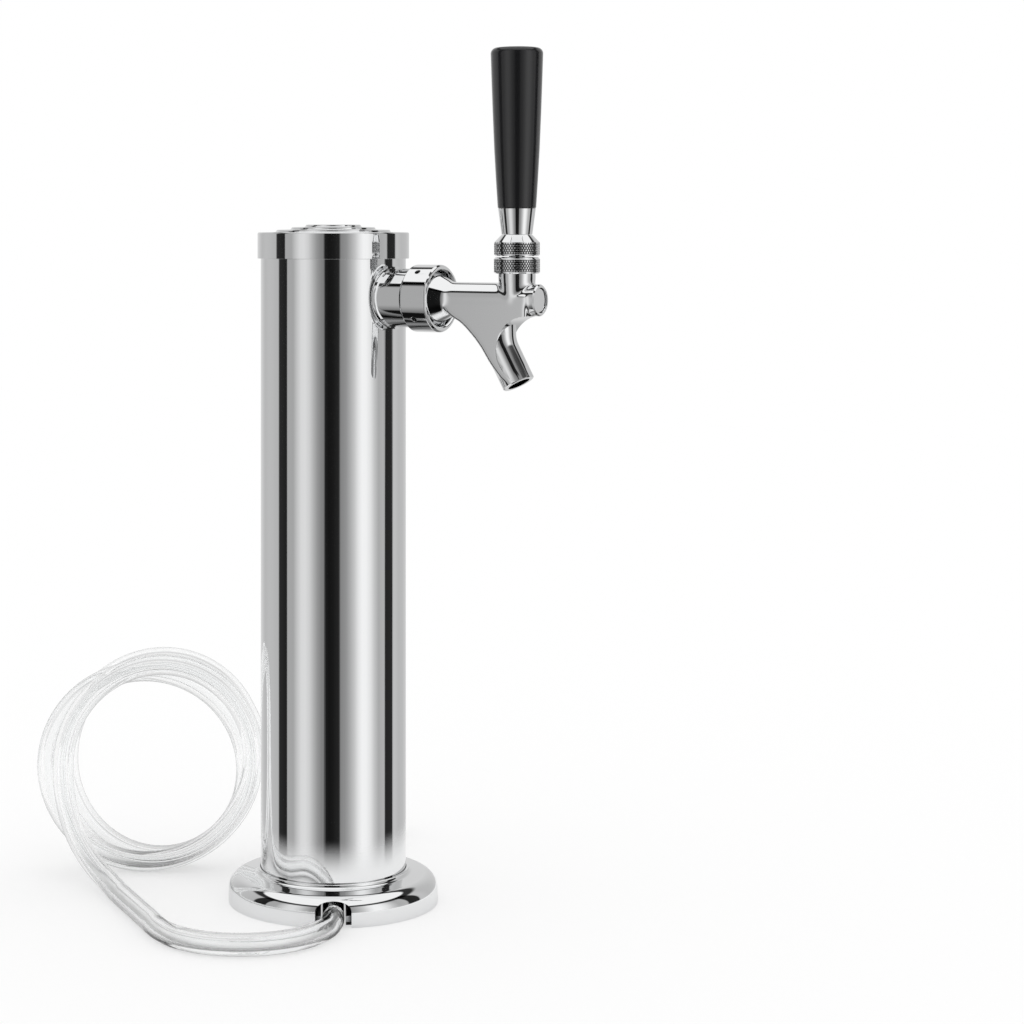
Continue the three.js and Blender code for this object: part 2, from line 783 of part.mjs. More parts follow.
function faucetBody() {
  const shell = turnedForward([
    [0, collarRear],
    [collarDiameter / 2, collarRear],
    [collarDiameter / 2, collarFront - nutMouth],
    [collarDiameter / 2 - nutMouth, collarFront],
    [bellDiameter / 2, collarFront],
    ...bellCurve(),
    [barrelDiameter / 2, bellEnd],
    [barrelDiameter / 2, leverReach],
    [guideDiameter / 2, leverReach + neckDiameter / 4],
    [guideDiameter / 2, guideFront - guideEdge],
    [guideDiameter / 2 - guideEdge, guideFront],
    [0, guideFront],
  ], middleRound);
  const neck = turned([
    [0, 0],
    [neckDiameter / 2, 0],
    [neckDiameter / 2, neckRise],
    [neckThread / 2, neckRise],
    [neckThread / 2, neckTop],
    [0, neckTop],
  ], middleRound).translate(leverReach, 0, 0);
  const spout = tube(spoutPath(0), spoutDiameter, smallRound / 2, smallRound);
  const throughBore = bar(faucetBore, seatFace - overrun, guideFront + overrun, middleRound);
  const seat = bar(seatBore, collarRear - overrun, seatFace, middleRound);
  const fingerWay = pin(fingerBore, 0, neckTop, middleRound).translate(leverReach, 0, 0);
  const ballSeat = pin(ballBore, ballLedge, neckTop + overrun, middleRound).translate(leverReach, 0, 0);
  const spoutWay = tube(spoutPath(overrun), spoutBore, smallRound / 2, smallRound);
  return cut(joined(shell, neck, spout, ...castWeb()), throughBore, seat, fingerWay, ballSeat, spoutWay);
}

// The bell that flares from the barrel back to the collar.
function bellCurve() {
  const points = [];
  for (let i = 1; i < arcSteps; i += 1) {
    const angle = (i * Math.PI) / 2 / arcSteps;
    const drop = (bellDiameter - barrelDiameter) / 2;
    points.push([bellDiameter / 2 - drop * Math.sin(angle), bellEnd - bellLength * Math.cos(angle)]);
  }
  return points;
}

function valveShaft() {
  const front = guideFront - headRecess;
  const headRear = leverReach - slotBack - headBack;
  const washerRear = seatFace - seatGap - washerThickness;
  const rodRear = washerRear - seatGap - valveNutLength - rodEnd;
  const body = turnedForward([
    [0, rodRear],
    [rodEndDiameter / 2, rodRear],
    [rodEndDiameter / 2, seatFace - seatGap],
    [rodDiameter / 2, seatFace - seatGap],
    [rodDiameter / 2, headRear],
    [headDiameter / 2, headRear],
    [headDiameter / 2, front],
    [0, front],
  ]);
  const slot = new THREE.BoxGeometry(slotBack + slotFront, slotWidth, headDiameter)
    .translate(leverReach + (slotFront - slotBack) / 2, 0, headDiameter / 2 - slotFloor);
  return cut(body, slot);
}

function seatWasher() {
  const front = seatFace - seatGap;
  return turnedForward(ring(washerDiameter, rodEndDiameter + 2 * seatGap, front - washerThickness, front));
}

function valveNut() {
  const front = seatFace - 2 * seatGap - washerThickness;
  return cut(hexBar(valveNutFlats, front - valveNutLength, front),
    bar(rodEndDiameter + 2 * seatGap, front - valveNutLength - overrun, front + overrun));
}

// A conical spring: its wide end on the shank's ledge, its narrow end on the valve's nut.
function closingSpring() {
  const rear = -springLedge + springWire / 2 + fitGap;
  const front = seatFace - 2 * seatGap - washerThickness - valveNutLength - springWire / 2 - fitGap;
  const places = [];
  const count = springTurns * springSteps;
  for (let i = 0; i <= count; i += 1) {
    const share = i / count;
    const angle = (i * 2 * Math.PI) / springSteps;
    const radius = (springWide + (springNarrow - springWide) * share - springWire) / 2;
    places.push([rear + (front - rear) * share, radius * Math.cos(angle), radius * Math.sin(angle)]);
  }
  const curve = curveThrough(places);
  const gap = leastGap(curve, springWire, 10 * count);
  console.log(`closing_spring: least gap to itself ${gap.toFixed(2)} mm`);
  return tube(curve, springWire, count, springSides);
}

function leverBonnet() {
  const outer = bonnetDiameter / 2;
  const inner = neckThread / 2 + fitGap;
  return turned([
    [inner, -bonnetFoot],
    [outer - bonnetEdge / 2, -bonnetFoot],
    [outer, bonnetEdge / 2 - bonnetFoot],
    [outer, bonnetTop - bonnetEdge],
    [outer - bonnetEdge, bonnetTop],
    [bonnetMouth / 2, bonnetTop],
    [bonnetHole / 2, bonnetTop - bonnetRoof],
    [inner, bonnetTop - bonnetRoof],
    [inner, -bonnetFoot],
  ], middleRound);
}

function frictionWasherRing() {
  const top = bonnetTop - bonnetRoof - seatGap;
  return turned(ring(neckThread, frictionBore, top - frictionWasher, top));
}

const collarTop = leverCollarFoot + leverCollarBand + leverCollarCone;
const ferruleStart = collarTop + seatGap;
const gripStart = ferruleStart + ferruleLength + seatGap;

function leverRod() {
  const ball = ballDiameter / 2;
  const low = -THREE.MathUtils.radToDeg(Math.acos(fingerRoot / ballDiameter));
  const high = THREE.MathUtils.radToDeg(Math.acos(stemDiameter / ballDiameter));
  const stemTop = gripStart + stemInsert;
  return turned([
    [0, -fingerLength],
    [fingerTip / 4, -fingerLength],
    [fingerTip / 2, fingerTip / 4 - fingerLength],
    ...arc([0, 0], ball, low, high, 2 * arcSteps),
    [stemDiameter / 2, stemTop],
    [0, stemTop],
  ]);
}

// The collar's underside is hollowed as a ball about the pivot, so it clears the bonnet at any tilt.
function leverCollar() {
  const outer = leverCollarDiameter / 2;
  const bore = stemDiameter / 2 + fitGap;
  const low = THREE.MathUtils.radToDeg(Math.asin(leverCollarFoot / leverCollarHollow));
  const high = THREE.MathUtils.radToDeg(Math.acos(bore / leverCollarHollow));
  return turned([
    ...arc([0, 0], leverCollarHollow, high, low),
    [outer - leverCollarEdge, leverCollarFoot],
    [outer, leverCollarFoot + leverCollarEdge],
    [outer, leverCollarFoot + leverCollarBand],
    [ferruleFoot / 2, collarTop],
    [bore, collarTop],
    arc([0, 0], leverCollarHollow, high, low)[0],
  ], middleRound);
}

function handleFerrule() {
  const bore = stemDiameter / 2 + fitGap;
  const top = ferruleStart + ferruleLength;
  return turned([
    [bore, ferruleStart],
    [ferruleFoot / 2, ferruleStart],
    [ferruleTop / 2, top],
    [bore, top],
    [bore, ferruleStart],
  ], middleRound);
}

function handleInsert() {
  const bore = stemDiameter / 2 + fitGap;
  return turned([
    [0, gripStart + insertLength],
    [0, gripStart + insertLength - overrun],
    [bore, gripStart + insertLength - overrun],
    [bore, gripStart],
    [insertDiameter / 2, gripStart],
    [insertDiameter / 2, gripStart + insertLength],
    [0, gripStart + insertLength],
  ]);
}

function handleGrip() {
  const pocket = insertDiameter / 2 + fitGap;
  const pocketTop = gripStart + insertLength + fitGap;
  const top = gripStart + gripLength;
  const belly = gripFoot + (gripTop - gripFoot) * gripBellyShare;
  return turned([
    [0, pocketTop],
    [pocket, pocketTop],
    [pocket, gripStart],
    [gripFoot / 2 - seatGap, gripStart],
    [gripFoot / 2, gripStart + seatGap],
    [belly / 2, gripStart + gripLength / 2],
    ...arc([gripTop / 2 - gripEdge, top - gripEdge], gripEdge, 0, 90),
    [0, top],
  ], middleRound);
}

// One place on the coil's centre line: left side at angle 0, then over the top and down the right.
function coilPlace(angle) {
  const radius = coilRadius + coilBreath * Math.sin(angle / 2);
  const centre = coilCentre + coilSway * Math.cos(angle / 2);
  return [
    centre - radius * Math.cos(angle),
    coilDepth + (coilPitch * angle) / (2 * Math.PI),
    lineHeight + radius * (1 + Math.sin(angle)),
  ];
}

const coilEnd = coilTurns * 2 * Math.PI;

// A place straight on from the coil's end by some distance.
function beyondCoil(distance) {
  const step = Math.PI / 180;
  const place = new THREE.Vector3(...coilPlace(coilEnd));
  const before = new THREE.Vector3(...coilPlace(coilEnd - step));
  const after = new THREE.Vector3(...coilPlace(coilEnd + step));
  return place.addScaledVector(after.sub(before).normalize(), distance).toArray();
}

function coilCurve() {
  const places = [...risePlaces];
  const count = Math.round(coilTurns * coilSteps);
  for (let i = 0; i <= count; i += 1) places.push(coilPlace((coilEnd * i) / count));
  places.push(beyondCoil(lineDiameter));
  return curveThrough(places);
}

function lineCoil() {
  const curve = coilCurve();
  const gap = leastGap(curve, lineDiameter, 600);
  console.log(`beer_line_coil: least gap to itself ${gap.toFixed(2)} mm, length ${curve.getLength().toFixed(0)} mm`);
  return tube(curve, lineDiameter, Math.round(curve.getLength() / ((2 * Math.PI * coilRadius) / coilSteps)),
    coilSides);
}

function runCurve() {
  const mouth = coverRadius - notchDepth / 2 + fitGap;
  const [joint, after] = risePlaces.map((place) => new THREE.Vector3(...place));
  const along = after.sub(joint).normalize();
  const last = [lineDiameter, fitGap].map((gap) => joint.clone().addScaledVector(along, -gap));
  return curveThrough([[0, -mouth, lineHeight], ...runPlaces, ...last.map((place) => place.toArray())]);
}

function tailCurve() {
  const back = [tailEnd[0] - kegBarb * Math.cos(tailTurn), tailEnd[1] - kegBarb * Math.sin(tailTurn), tailEnd[2]];
  const start = [beyondCoil(lineDiameter + fitGap), beyondCoil(2 * lineDiameter)];
  return curveThrough([...start, ...tailPlaces, back, tailEnd]);
}

function freeLine(name, curve) {
  const steps = Math.ceil(curve.getLength() / (2 * lineDiameter));
  console.log(`${name}: length ${curve.getLength().toFixed(0)} mm`);
  return tube(curve, lineDiameter, steps, hoseSides);
}

function lineTail() {
  const socket = bar(barbDiameter + 2 * (barbRidge + fitGap), -kegBarb - fitGap, overrun)
    .rotateZ(tailTurn).translate(...tailEnd);
  return cut(freeLine('beer_line_tail', tailCurve()), socket);
}

function kegTailpiece() {
  const neck = fitGap + kegNeckLength;
  const body = turnedForward([
    [0, fitGap],
    [kegNeck / 2, fitGap],
    [kegNeck / 2, neck],
    [kegFlange / 2, neck],
    [kegFlange / 2, neck + kegFlangeLength],
    [0, neck + kegFlangeLength],
  ]);
  const barb = turnedForward(barbProfile(kegBarb));
  return cut(joined(body, barb), bar(kegBore, -kegBarb - overrun, neck + kegFlangeLength + overrun));
}

function kegNut() {
  const floor = fitGap + kegNeckLength - seatGap - kegNutFloor;
  return cut(hexBar(kegNutFlats, floor, floor + kegNutLength),
    bar(kegNeck + 2 * fitGap, floor - overrun, floor + kegNutLength),
    bar(kegNutBore, floor + kegNutFloor, floor + kegNutLength + overrun));
}

function handleGroup() {
  const group = new THREE.Group();
  group.position.set(leverReach, 0, pivotRise);
  group.add(part('lever_bonnet', leverBonnet(), 'chrome'));
  group.add(part('friction_washer', frictionWasherRing(), 'whiteNylon'));
  group.add(part('lever_rod', leverRod(), 'steel'));
  group.add(part('lever_collar', leverCollar(), 'chrome'));
  group.add(part('handle_ferrule', handleFerrule(), 'chrome'));
  group.add(part('handle_insert', handleInsert(), 'brass'));
  group.add(part('handle_grip', handleGrip(), 'blackPlastic'));
  return group;
}

function tapGroup() {
  const group = new THREE.Group();
  group.position.set(columnRadius, 0, shankHeight);
  group.add(part('shank_saddle', shankSaddle(), 'chrome'));
  group.add(part('shank_body', shankBody(), 'chrome'));
  group.add(part('shank_bracket', shankBracket(), 'steel'));
  group.add(part('shank_lock_nut', lockNut(), 'steel'));
  group.add(part('coupling_nut', couplingNut(), 'chrome'));
  group.add(part('tail_gasket', tailGasketRing(), 'rubber'));
  group.add(part('elbow_barb', elbowBarb(), 'chrome'));
  group.add(part('tail_nut', tailNut(), 'chrome'));
  const clamp = part('tail_clamp', crimpClamp(lineDiameter), 'steel');
  clamp.position.set(barbX, 0, lineTop - clampDrop - clampWidth);
  clamp.rotation.z = Math.PI;
  group.add(clamp);
  group.add(part('faucet_gasket', faucetGasketRing(), 'rubber'));
  group.add(part('faucet_body', faucetBody(), 'chrome'));
  group.add(part('valve_shaft', valveShaft(), 'chrome'));
  group.add(part('seat_washer', seatWasher(), 'rubber'));
  group.add(part('valve_nut', valveNut(), 'steel'));
  group.add(part('closing_spring', closingSpring(), 'steel'));
  group.add(handleGroup());
  return group;
}

function lineGroup() {
  const group = new THREE.Group();
  group.rotation.z = hoseTurn;
  group.add(part('beer_line_run', freeLine('beer_line_run', runCurve()), 'vinyl'));
  group.add(part('beer_line_coil', lineCoil(), 'vinyl'));
  group.add(part('beer_line_tail', lineTail(), 'vinyl'));
  const fitting = new THREE.Group();
  fitting.position.set(...tailEnd);
  fitting.rotation.z = tailTurn;
  fitting.add(part('keg_tailpiece', kegTailpiece(), 'chrome'));
  fitting.add(part('keg_nut', kegNut(), 'chrome'));
  const clamp = part('keg_clamp', crimpClamp(lineDiameter).rotateX(Math.PI).rotateY(Math.PI / 2), 'steel');
  clamp.position.set(-clampDrop + clampWidth, 0, 0);
  fitting.add(clamp);
  group.add(fitting);
  return group;
}

const tower = new THREE.Group();
tower.position.x = frameShift;
tower.add(part('tower_column', towerColumn(), 'stainless'));
tower.add(part('base_flange', baseFlange(), 'steel'));
tower.add(part('base_gasket', baseGasket(), 'rubber'));
tower.add(part('base_cover', baseCover(), 'stainless'));
tower.add(part('top_cap', topCap(), 'stainless'));
tower.add(part('cap_grip', capGrip(), 'greyPlastic'));
tower.add(part('foam_sleeve', foamSleeve(), 'foam'));
tower.add(part('inner_beer_line', innerLine(), 'vinyl'));
tower.add(tapGroup());
tower.add(lineGroup());

export default tower;
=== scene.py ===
# %% [markdown]
# # Beer tower with one tap
# A polished steel column stands on a round covered foot. A chrome tap with a black handle grip reaches out
# near its top, and a clear beer line leaves the foot and lies behind it in a standing coil. The frame is
# the measured assembly. Its turned and cast pieces get smooth surfaces here, and every piece gets a finish.

# %% Load the frame
import json
import math

import bpy
from mathutils import Matrix, Vector


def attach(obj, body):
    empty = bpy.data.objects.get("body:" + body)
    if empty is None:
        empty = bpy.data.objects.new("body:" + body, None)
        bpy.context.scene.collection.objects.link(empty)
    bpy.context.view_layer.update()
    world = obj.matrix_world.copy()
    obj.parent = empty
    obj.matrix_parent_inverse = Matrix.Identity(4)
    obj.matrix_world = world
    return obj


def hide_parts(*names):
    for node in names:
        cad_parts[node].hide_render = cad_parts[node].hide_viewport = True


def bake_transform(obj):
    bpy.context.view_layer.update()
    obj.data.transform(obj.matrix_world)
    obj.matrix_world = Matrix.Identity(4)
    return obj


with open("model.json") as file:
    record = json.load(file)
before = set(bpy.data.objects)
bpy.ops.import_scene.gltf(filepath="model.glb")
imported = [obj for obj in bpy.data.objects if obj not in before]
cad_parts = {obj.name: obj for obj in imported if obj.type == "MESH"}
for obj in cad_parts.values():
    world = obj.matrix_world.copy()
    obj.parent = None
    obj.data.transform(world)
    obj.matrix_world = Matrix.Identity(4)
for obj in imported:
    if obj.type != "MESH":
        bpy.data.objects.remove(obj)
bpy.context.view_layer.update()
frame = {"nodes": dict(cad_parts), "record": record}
MM = 0.001

# %% [markdown]
# ## The camera
# The photograph was taken level with the cap and a little over a metre away, from the side of the tap. The
# column's sides stay parallel in it, so the camera stays level too, and its lens shifts to frame the picture.

# %% Camera
COLUMN_X = -34.75 * MM
TAP_TURN = math.radians(34)
CAMERA_DISTANCE = 1.290
CAMERA_HEIGHT = 0.351

SENSOR_WIDTH, LENS = 36, 86.3
SHIFT_X, SHIFT_Y = 0.1745, -0.2744

camera_data = bpy.data.cameras.new("camera")
camera_data.sensor_width = SENSOR_WIDTH
camera_data.lens = LENS
camera_data.shift_x = SHIFT_X
camera_data.shift_y = SHIFT_Y
camera_data.clip_start = 0.05
camera = bpy.data.objects.new("camera", camera_data)
bpy.context.scene.collection.objects.link(camera)
camera.location = (
    COLUMN_X + CAMERA_DISTANCE * math.sin(TAP_TURN),
    -CAMERA_DISTANCE * math.cos(TAP_TURN),
    CAMERA_HEIGHT,
)
camera.rotation_euler = (math.radians(90), 0, TAP_TURN)
bpy.context.scene.camera = camera
print("camera at", [round(v, 3) for v in camera.location])

# %% [markdown]
# ## The beer line
# The line is a clear vinyl hose, 11.1 mm wide with a 4.8 mm bore. Its route is the one that the frame's
# solids follow, in the same listed places. A curve with a round bevel gives one wall of the hose, and a
# second thinner curve gives the bore. Both become meshes, and bridging their ends closes the hose.

# %% Route of the line
LINE_RADIUS = 5.55 * MM
BORE_RADIUS = 2.4 * MM
LINE_HEIGHT = 5.6
COIL_RADIUS, COIL_BREATH, COIL_SWAY = 53, 2, 5
COIL_CENTRE, COIL_DEPTH, COIL_PITCH, COIL_TURNS = -99, 46, 12.1, 2.43
COIL_STEPS = 24
COIL_END = COIL_TURNS * 2 * math.pi
PAST_COIL = (11.1, 22.2)

RUN_PLACES = [
    (0, -52.55, 5.6), (0, -58.4, 5.6), (-0.9, -65.8, 5.6), (-3.4, -74.2, 5.6), (-13.2, -88.8, 5.6),
    (-27.8, -98.6, 5.6), (-45, -102, 5.6), (-62.2, -98.6, 5.6), (-76.8, -88.8, 5.6), (-86.9, -73.3, 5.6),
    (-92.4, -59.2, 5.6), (-98, -44.8, 5.6), (-102.5, -33.2, 5.6),
]
RISE_PLACES = [
    (-107, -21.6, 5.6), (-109.3, -15.7, 5.6), (-113.2, -5.6, 5.7), (-119.8, 9.3, 7.6), (-126, 18.6, 10.8),
    (-132.5, 27, 16.3), (-138.3, 34.1, 24), (-142.8, 39.5, 33.7), (-145.8, 43.1, 44.7),
]
TAIL_PLACES = [
    (-36.3, 78.1, 51.7), (-32.4, 81.4, 40.7), (-27.4, 86.2, 30.8), (-21, 92.7, 22.8), (-12.6, 101.3, 16.8),
]
TAIL_END = Vector((13.4, 126.1, 13.55))
TAIL_TURN = math.radians(43)
BARB_LENGTH = 20


def in_row(place):
    """A place in the notch's turned frame, in millimetres, as a point of the row frame in metres."""
    return Matrix.Rotation(TAP_TURN, 3, "Z") @ Vector(place) * MM + Vector((COLUMN_X, 0, 0))


def coil_place(angle):
    """The coil breathes and sways a little from turn to turn, as in a hose that was rolled up by hand."""
    radius = COIL_RADIUS + COIL_BREATH * math.sin(angle / 2)
    centre = COIL_CENTRE + COIL_SWAY * math.cos(angle / 2)
    depth = COIL_DEPTH + COIL_PITCH * angle / (2 * math.pi)
    return Vector((centre - radius * math.cos(angle), depth, LINE_HEIGHT + radius * (1 + math.sin(angle))))


def beyond_coil(distance):
    along = coil_place(COIL_END + 0.01) - coil_place(COIL_END - 0.01)
    return coil_place(COIL_END) + along.normalized() * distance


def smooth_route(places, steps=4):
    """Points on a smooth curve through the places, closer together."""
    points = [Vector(place) for place in places]
    points = [2 * points[0] - points[1], *points, 2 * points[-1] - points[-2]]
    route = []
    for a, b, c, d in zip(points, points[1:], points[2:], points[3:]):
        knots = [0]
        for p, q in ((a, b), (b, c), (c, d)):
            knots.append(knots[-1] + math.sqrt((q - p).length))
        for i in range(steps):
            t = knots[1] + (knots[2] - knots[1]) * i / steps
            ab = a.lerp(b, (t - knots[0]) / (knots[1] - knots[0]))
            bc = b.lerp(c, (t - knots[1]) / (knots[2] - knots[1]))
            cd = c.lerp(d, (t - knots[2]) / (knots[3] - knots[2]))
            abc = ab.lerp(bc, (t - knots[0]) / (knots[2] - knots[0]))
            bcd = bc.lerp(cd, (t - knots[1]) / (knots[3] - knots[1]))
            route.append(abc.lerp(bcd, (t - knots[1]) / (knots[2] - knots[1])))
    return [*route, points[-2]]


def free_route():
    steps = round(COIL_TURNS * COIL_STEPS)
    coil = [coil_place(COIL_END * i / steps) for i in range(steps + 1)]
    past = [beyond_coil(distance) for distance in PAST_COIL]
    back = TAIL_END - BARB_LENGTH * Vector((math.cos(TAIL_TURN), math.sin(TAIL_TURN), 0))
    places = [*RUN_PLACES, *RISE_PLACES, *coil, *past, *TAIL_PLACES, back, TAIL_END]
    return [in_row(point) for point in smooth_route(places)]


free_points = free_route()


# %% [markdown]
# Small helpers come next. Each one starts with nothing selected, because an operator acts on all that is.

# %% Selection helpers
def select_only(*objects):
    if bpy.context.object and bpy.context.object.mode != "OBJECT":
        bpy.ops.object.mode_set(mode="OBJECT")
    bpy.ops.object.select_all(action="DESELECT")
    for item in objects:
        item.select_set(True)
    bpy.context.view_layer.objects.active = objects[0] if objects else None


def apply_place(piece):
    select_only(piece)
    bpy.ops.object.transform_apply(location=True, rotation=True, scale=True)


def join_pieces(name, *pieces):
    select_only(*pieces)
    bpy.ops.object.join()
    pieces[0].name = name
    return pieces[0]


def select_where(piece, test, mode="VERT"):
    """Edit mode with only the vertices chosen that pass the test, or in FACE mode the faces whose middle does."""
    select_only(piece)
    bpy.ops.object.mode_set(mode="EDIT")
    bpy.ops.mesh.select_mode(type=mode)
    bpy.ops.mesh.select_all(action="DESELECT")
    bpy.ops.object.mode_set(mode="OBJECT")
    mesh = piece.data
    if mode == "VERT":
        for vertex in mesh.vertices:
            vertex.select = test(vertex.co)
    else:
        for face in mesh.polygons:
            face.select = test(face.center)
    bpy.ops.object.mode_set(mode="EDIT")


def leave_edit():
    bpy.ops.object.mode_set(mode="OBJECT")


# %% Hose from a route
HOSE_SIDES = 28


def pipe_along(name, points, radius, sides):
    """A round pipe along points, open at both ends."""
    curve = bpy.data.curves.new(name, "CURVE")
    curve.dimensions = "3D"
    curve.bevel_depth = radius
    curve.bevel_resolution = sides // 4 - 1
    spline = curve.splines.new("POLY")
    spline.points.add(len(points) - 1)
    for place, point in zip(spline.points, points):
        place.co = (*point, 1)
    piece = bpy.data.objects.new(name, curve)
    bpy.context.scene.collection.objects.link(piece)
    select_only(piece)
    bpy.ops.object.convert(target="MESH")
    return bpy.context.object


def hose(name, points):
    """Two walls along the same points, with the inner one turned inside out and the ends bridged."""
    outer = pipe_along(name, points, LINE_RADIUS, HOSE_SIDES)
    inner = pipe_along(name + "_bore", points, BORE_RADIUS, HOSE_SIDES)
    select_only(inner)
    bpy.ops.object.mode_set(mode="EDIT")
    bpy.ops.mesh.select_all(action="SELECT")
    bpy.ops.mesh.flip_normals()
    leave_edit()
    piece = join_pieces(name, outer, inner)
    for end in (points[0], points[-1]):
        select_only(piece)
        bpy.ops.object.mode_set(mode="EDIT")
        bpy.ops.mesh.select_mode(type="EDGE")
        bpy.ops.mesh.select_all(action="DESELECT")
        bpy.ops.mesh.select_non_manifold()
        leave_edit()
        mesh = piece.data
        for edge in mesh.edges:
            middle = (mesh.vertices[edge.vertices[0]].co + mesh.vertices[edge.vertices[1]].co) / 2
            edge.select = edge.select and (middle - end).length < 2 * LINE_RADIUS
        bpy.ops.object.mode_set(mode="EDIT")
        bpy.ops.mesh.bridge_edge_loops()
        leave_edit()
    select_only(piece)
    bpy.ops.object.mode_set(mode="EDIT")
    bpy.ops.mesh.select_all(action="SELECT")
    bpy.ops.mesh.normals_make_consistent(inside=False)
    leave_edit()
    bpy.ops.object.shade_smooth_by_angle(angle=math.radians(40))
    return piece


beer_line = hose("beer_line", free_points)
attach(beer_line, "tower")
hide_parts("beer_line_run", "beer_line_coil", "beer_line_tail")
print("beer line", len(beer_line.data.polygons), "faces")

# %% [markdown]
# ## The light
# The photographer lit the steel with tall white panels and hung black cards between them, which gives the
# metal its long bright and dark bands. A world shader does the same: a glossy ray looks up its direction round
# the column in a curve of light and dark. A black line runs along the panels' upper edge and a white ceiling is
# above it. A ray that has passed through the hose sees the panels faintly, which draws the hose's walls. All
# other rays see plain white, so the background stays white.

# %% Node helpers
def add_node(tree, kind, **values):
    node = tree.nodes.new(kind)
    for name, value in values.items():
        setattr(node, name, value)
    return node


def feed(tree, socket, value):
    if isinstance(value, bpy.types.NodeSocket):
        tree.links.new(value, socket)
    else:
        socket.default_value = value


def calc(tree, operation, *values):
    node = add_node(tree, "ShaderNodeMath", operation=operation)
    for socket, value in zip(node.inputs, values):
        feed(tree, socket, value)
    return node.outputs[0]


def fade(tree, value, low, high):
    """0 below low and 1 above high, or the other way round, with a soft change between."""
    node = add_node(tree, "ShaderNodeMapRange", interpolation_type="SMOOTHSTEP")
    for socket, number in zip(node.inputs, (value, low, high, 0.0, 1.0)):
        feed(tree, socket, number)
    return node.outputs[0]


def mix_shaders(tree, share, first, second):
    node = add_node(tree, "ShaderNodeMixShader")
    for socket, value in zip(node.inputs, (share, first, second)):
        feed(tree, socket, value)
    return node.outputs[0]


# %% The studio round the column
METAL = 0.86
STRIP_TOP = 1.1
BLACK_LINE, BLACK_SHARE = (0.56, 0.64), 0.94
UNDERSIDE, UNDERSIDE_SHARE = (-0.35, -0.75), 0.7
CEILING = (0.715, 0.745)
THROUGH_TILT, THROUGH_TILT_SHARE, THROUGH_SHARE = (0.35, 0.6), 0.2, 0.36
# Each pair is an angle round the column, in degrees from the camera's side, and the grey that steel shows there.
STRIPS = [
    (-180, 207), (-164, 207), (-138, 180), (-123, 185), (-111, 183), (-100, 178), (-96.7, 176), (-95.3, 42),
    (-91, 40), (-82, 33), (-78.7, 33), (-77.3, 163), (-66, 163), (-59, 193), (-52, 214), (-45, 217),
    (-38, 204), (-31, 175), (-25, 148), (-18, 127), (-14.7, 125), (-13.3, 30), (-7, 20), (0, 25), (9.3, 38),
    (10.7, 128), (20, 144), (26, 168), (33, 194), (40, 226), (46, 241), (53, 240), (61, 224), (68, 195),
    (76, 168), (88.3, 175), (89.7, 38), (93, 36), (107.3, 40), (108.7, 186), (114, 190), (126, 181),
    (143, 184), (180, 207),
]


def linear(grey):
    """A grey of the picture, from 0 to 255, as an amount of light."""
    share = grey / 255
    return share / 12.92 if share <= 0.04045 else ((share + 0.055) / 1.055) ** 2.4


world = bpy.data.worlds.new("studio")
bpy.context.scene.world = world
world.use_nodes = True
tree = world.node_tree
tree.nodes.clear()
toward = add_node(tree, "ShaderNodeTexCoord").outputs["Generated"]


def along(direction):
    node = add_node(tree, "ShaderNodeVectorMath", operation="DOT_PRODUCT")
    feed(tree, node.inputs[0], toward)
    feed(tree, node.inputs[1], direction)
    return node.outputs["Value"]


to_right = along((math.cos(TAP_TURN), math.sin(TAP_TURN), 0))
to_camera = along((math.sin(TAP_TURN), -math.cos(TAP_TURN), 0))
upward = along((0, 0, 1))
azimuth = calc(tree, "ARCTAN2", to_right, to_camera)
place = calc(tree, "ADD", calc(tree, "DIVIDE", azimuth, 2 * math.pi), 0.5)
strips = add_node(tree, "ShaderNodeFloatCurve")
curve = strips.mapping.curves[0]
curve.points[0].location = (0, linear(STRIPS[0][1]) / METAL / STRIP_TOP)
curve.points[1].location = (1, linear(STRIPS[-1][1]) / METAL / STRIP_TOP)
for angle, grey in STRIPS[1:-1]:
    curve.points.new(angle / 360 + 0.5, linear(grey) / METAL / STRIP_TOP)
for point in curve.points:
    point.handle_type = "VECTOR"
strips.mapping.update()
feed(tree, strips.inputs["Value"], place)
banded = calc(tree, "MULTIPLY", strips.outputs[0], STRIP_TOP)
black_line = calc(tree, "MULTIPLY", fade(tree, upward, *BLACK_LINE), BLACK_SHARE)
below = calc(tree, "MULTIPLY", fade(tree, upward, *UNDERSIDE), UNDERSIDE_SHARE)
walls = calc(tree, "MULTIPLY", banded, calc(tree, "SUBTRACT", 1.0, calc(tree, "MAXIMUM", black_line, below)))
ceiling = fade(tree, upward, *CEILING)
glossy_light = calc(tree, "ADD", calc(tree, "MULTIPLY", walls, calc(tree, "SUBTRACT", 1.0, ceiling)), ceiling)
rays = add_node(tree, "ShaderNodeLightPath")
outside = calc(tree, "LESS_THAN", rays.outputs["Transmission Depth"], 0.5)
glossy = calc(tree, "MULTIPLY", rays.outputs["Is Glossy Ray"], outside)
through = rays.outputs["Is Transmission Ray"]
tilted = fade(tree, calc(tree, "ABSOLUTE", upward), *THROUGH_TILT)
panels = calc(tree, "MULTIPLY_ADD", calc(tree, "MINIMUM", banded, 1.0), THROUGH_SHARE, 1 - THROUGH_SHARE)
through_light = calc(tree, "MULTIPLY", panels, calc(tree, "MULTIPLY_ADD", tilted, -THROUGH_TILT_SHARE, 1.0))
plain = calc(tree, "SUBTRACT", 1.0, calc(tree, "ADD", glossy, through))
strength = calc(tree, "ADD", calc(tree, "MULTIPLY", glossy, glossy_light),
                calc(tree, "MULTIPLY_ADD", through, through_light, plain))
background = add_node(tree, "ShaderNodeBackground")
background.inputs["Color"].default_value = (1, 1, 1, 1)
feed(tree, background.inputs["Strength"], strength)
output = add_node(tree, "ShaderNodeOutputWorld")
feed(tree, output.inputs["Surface"], background.outputs[0])
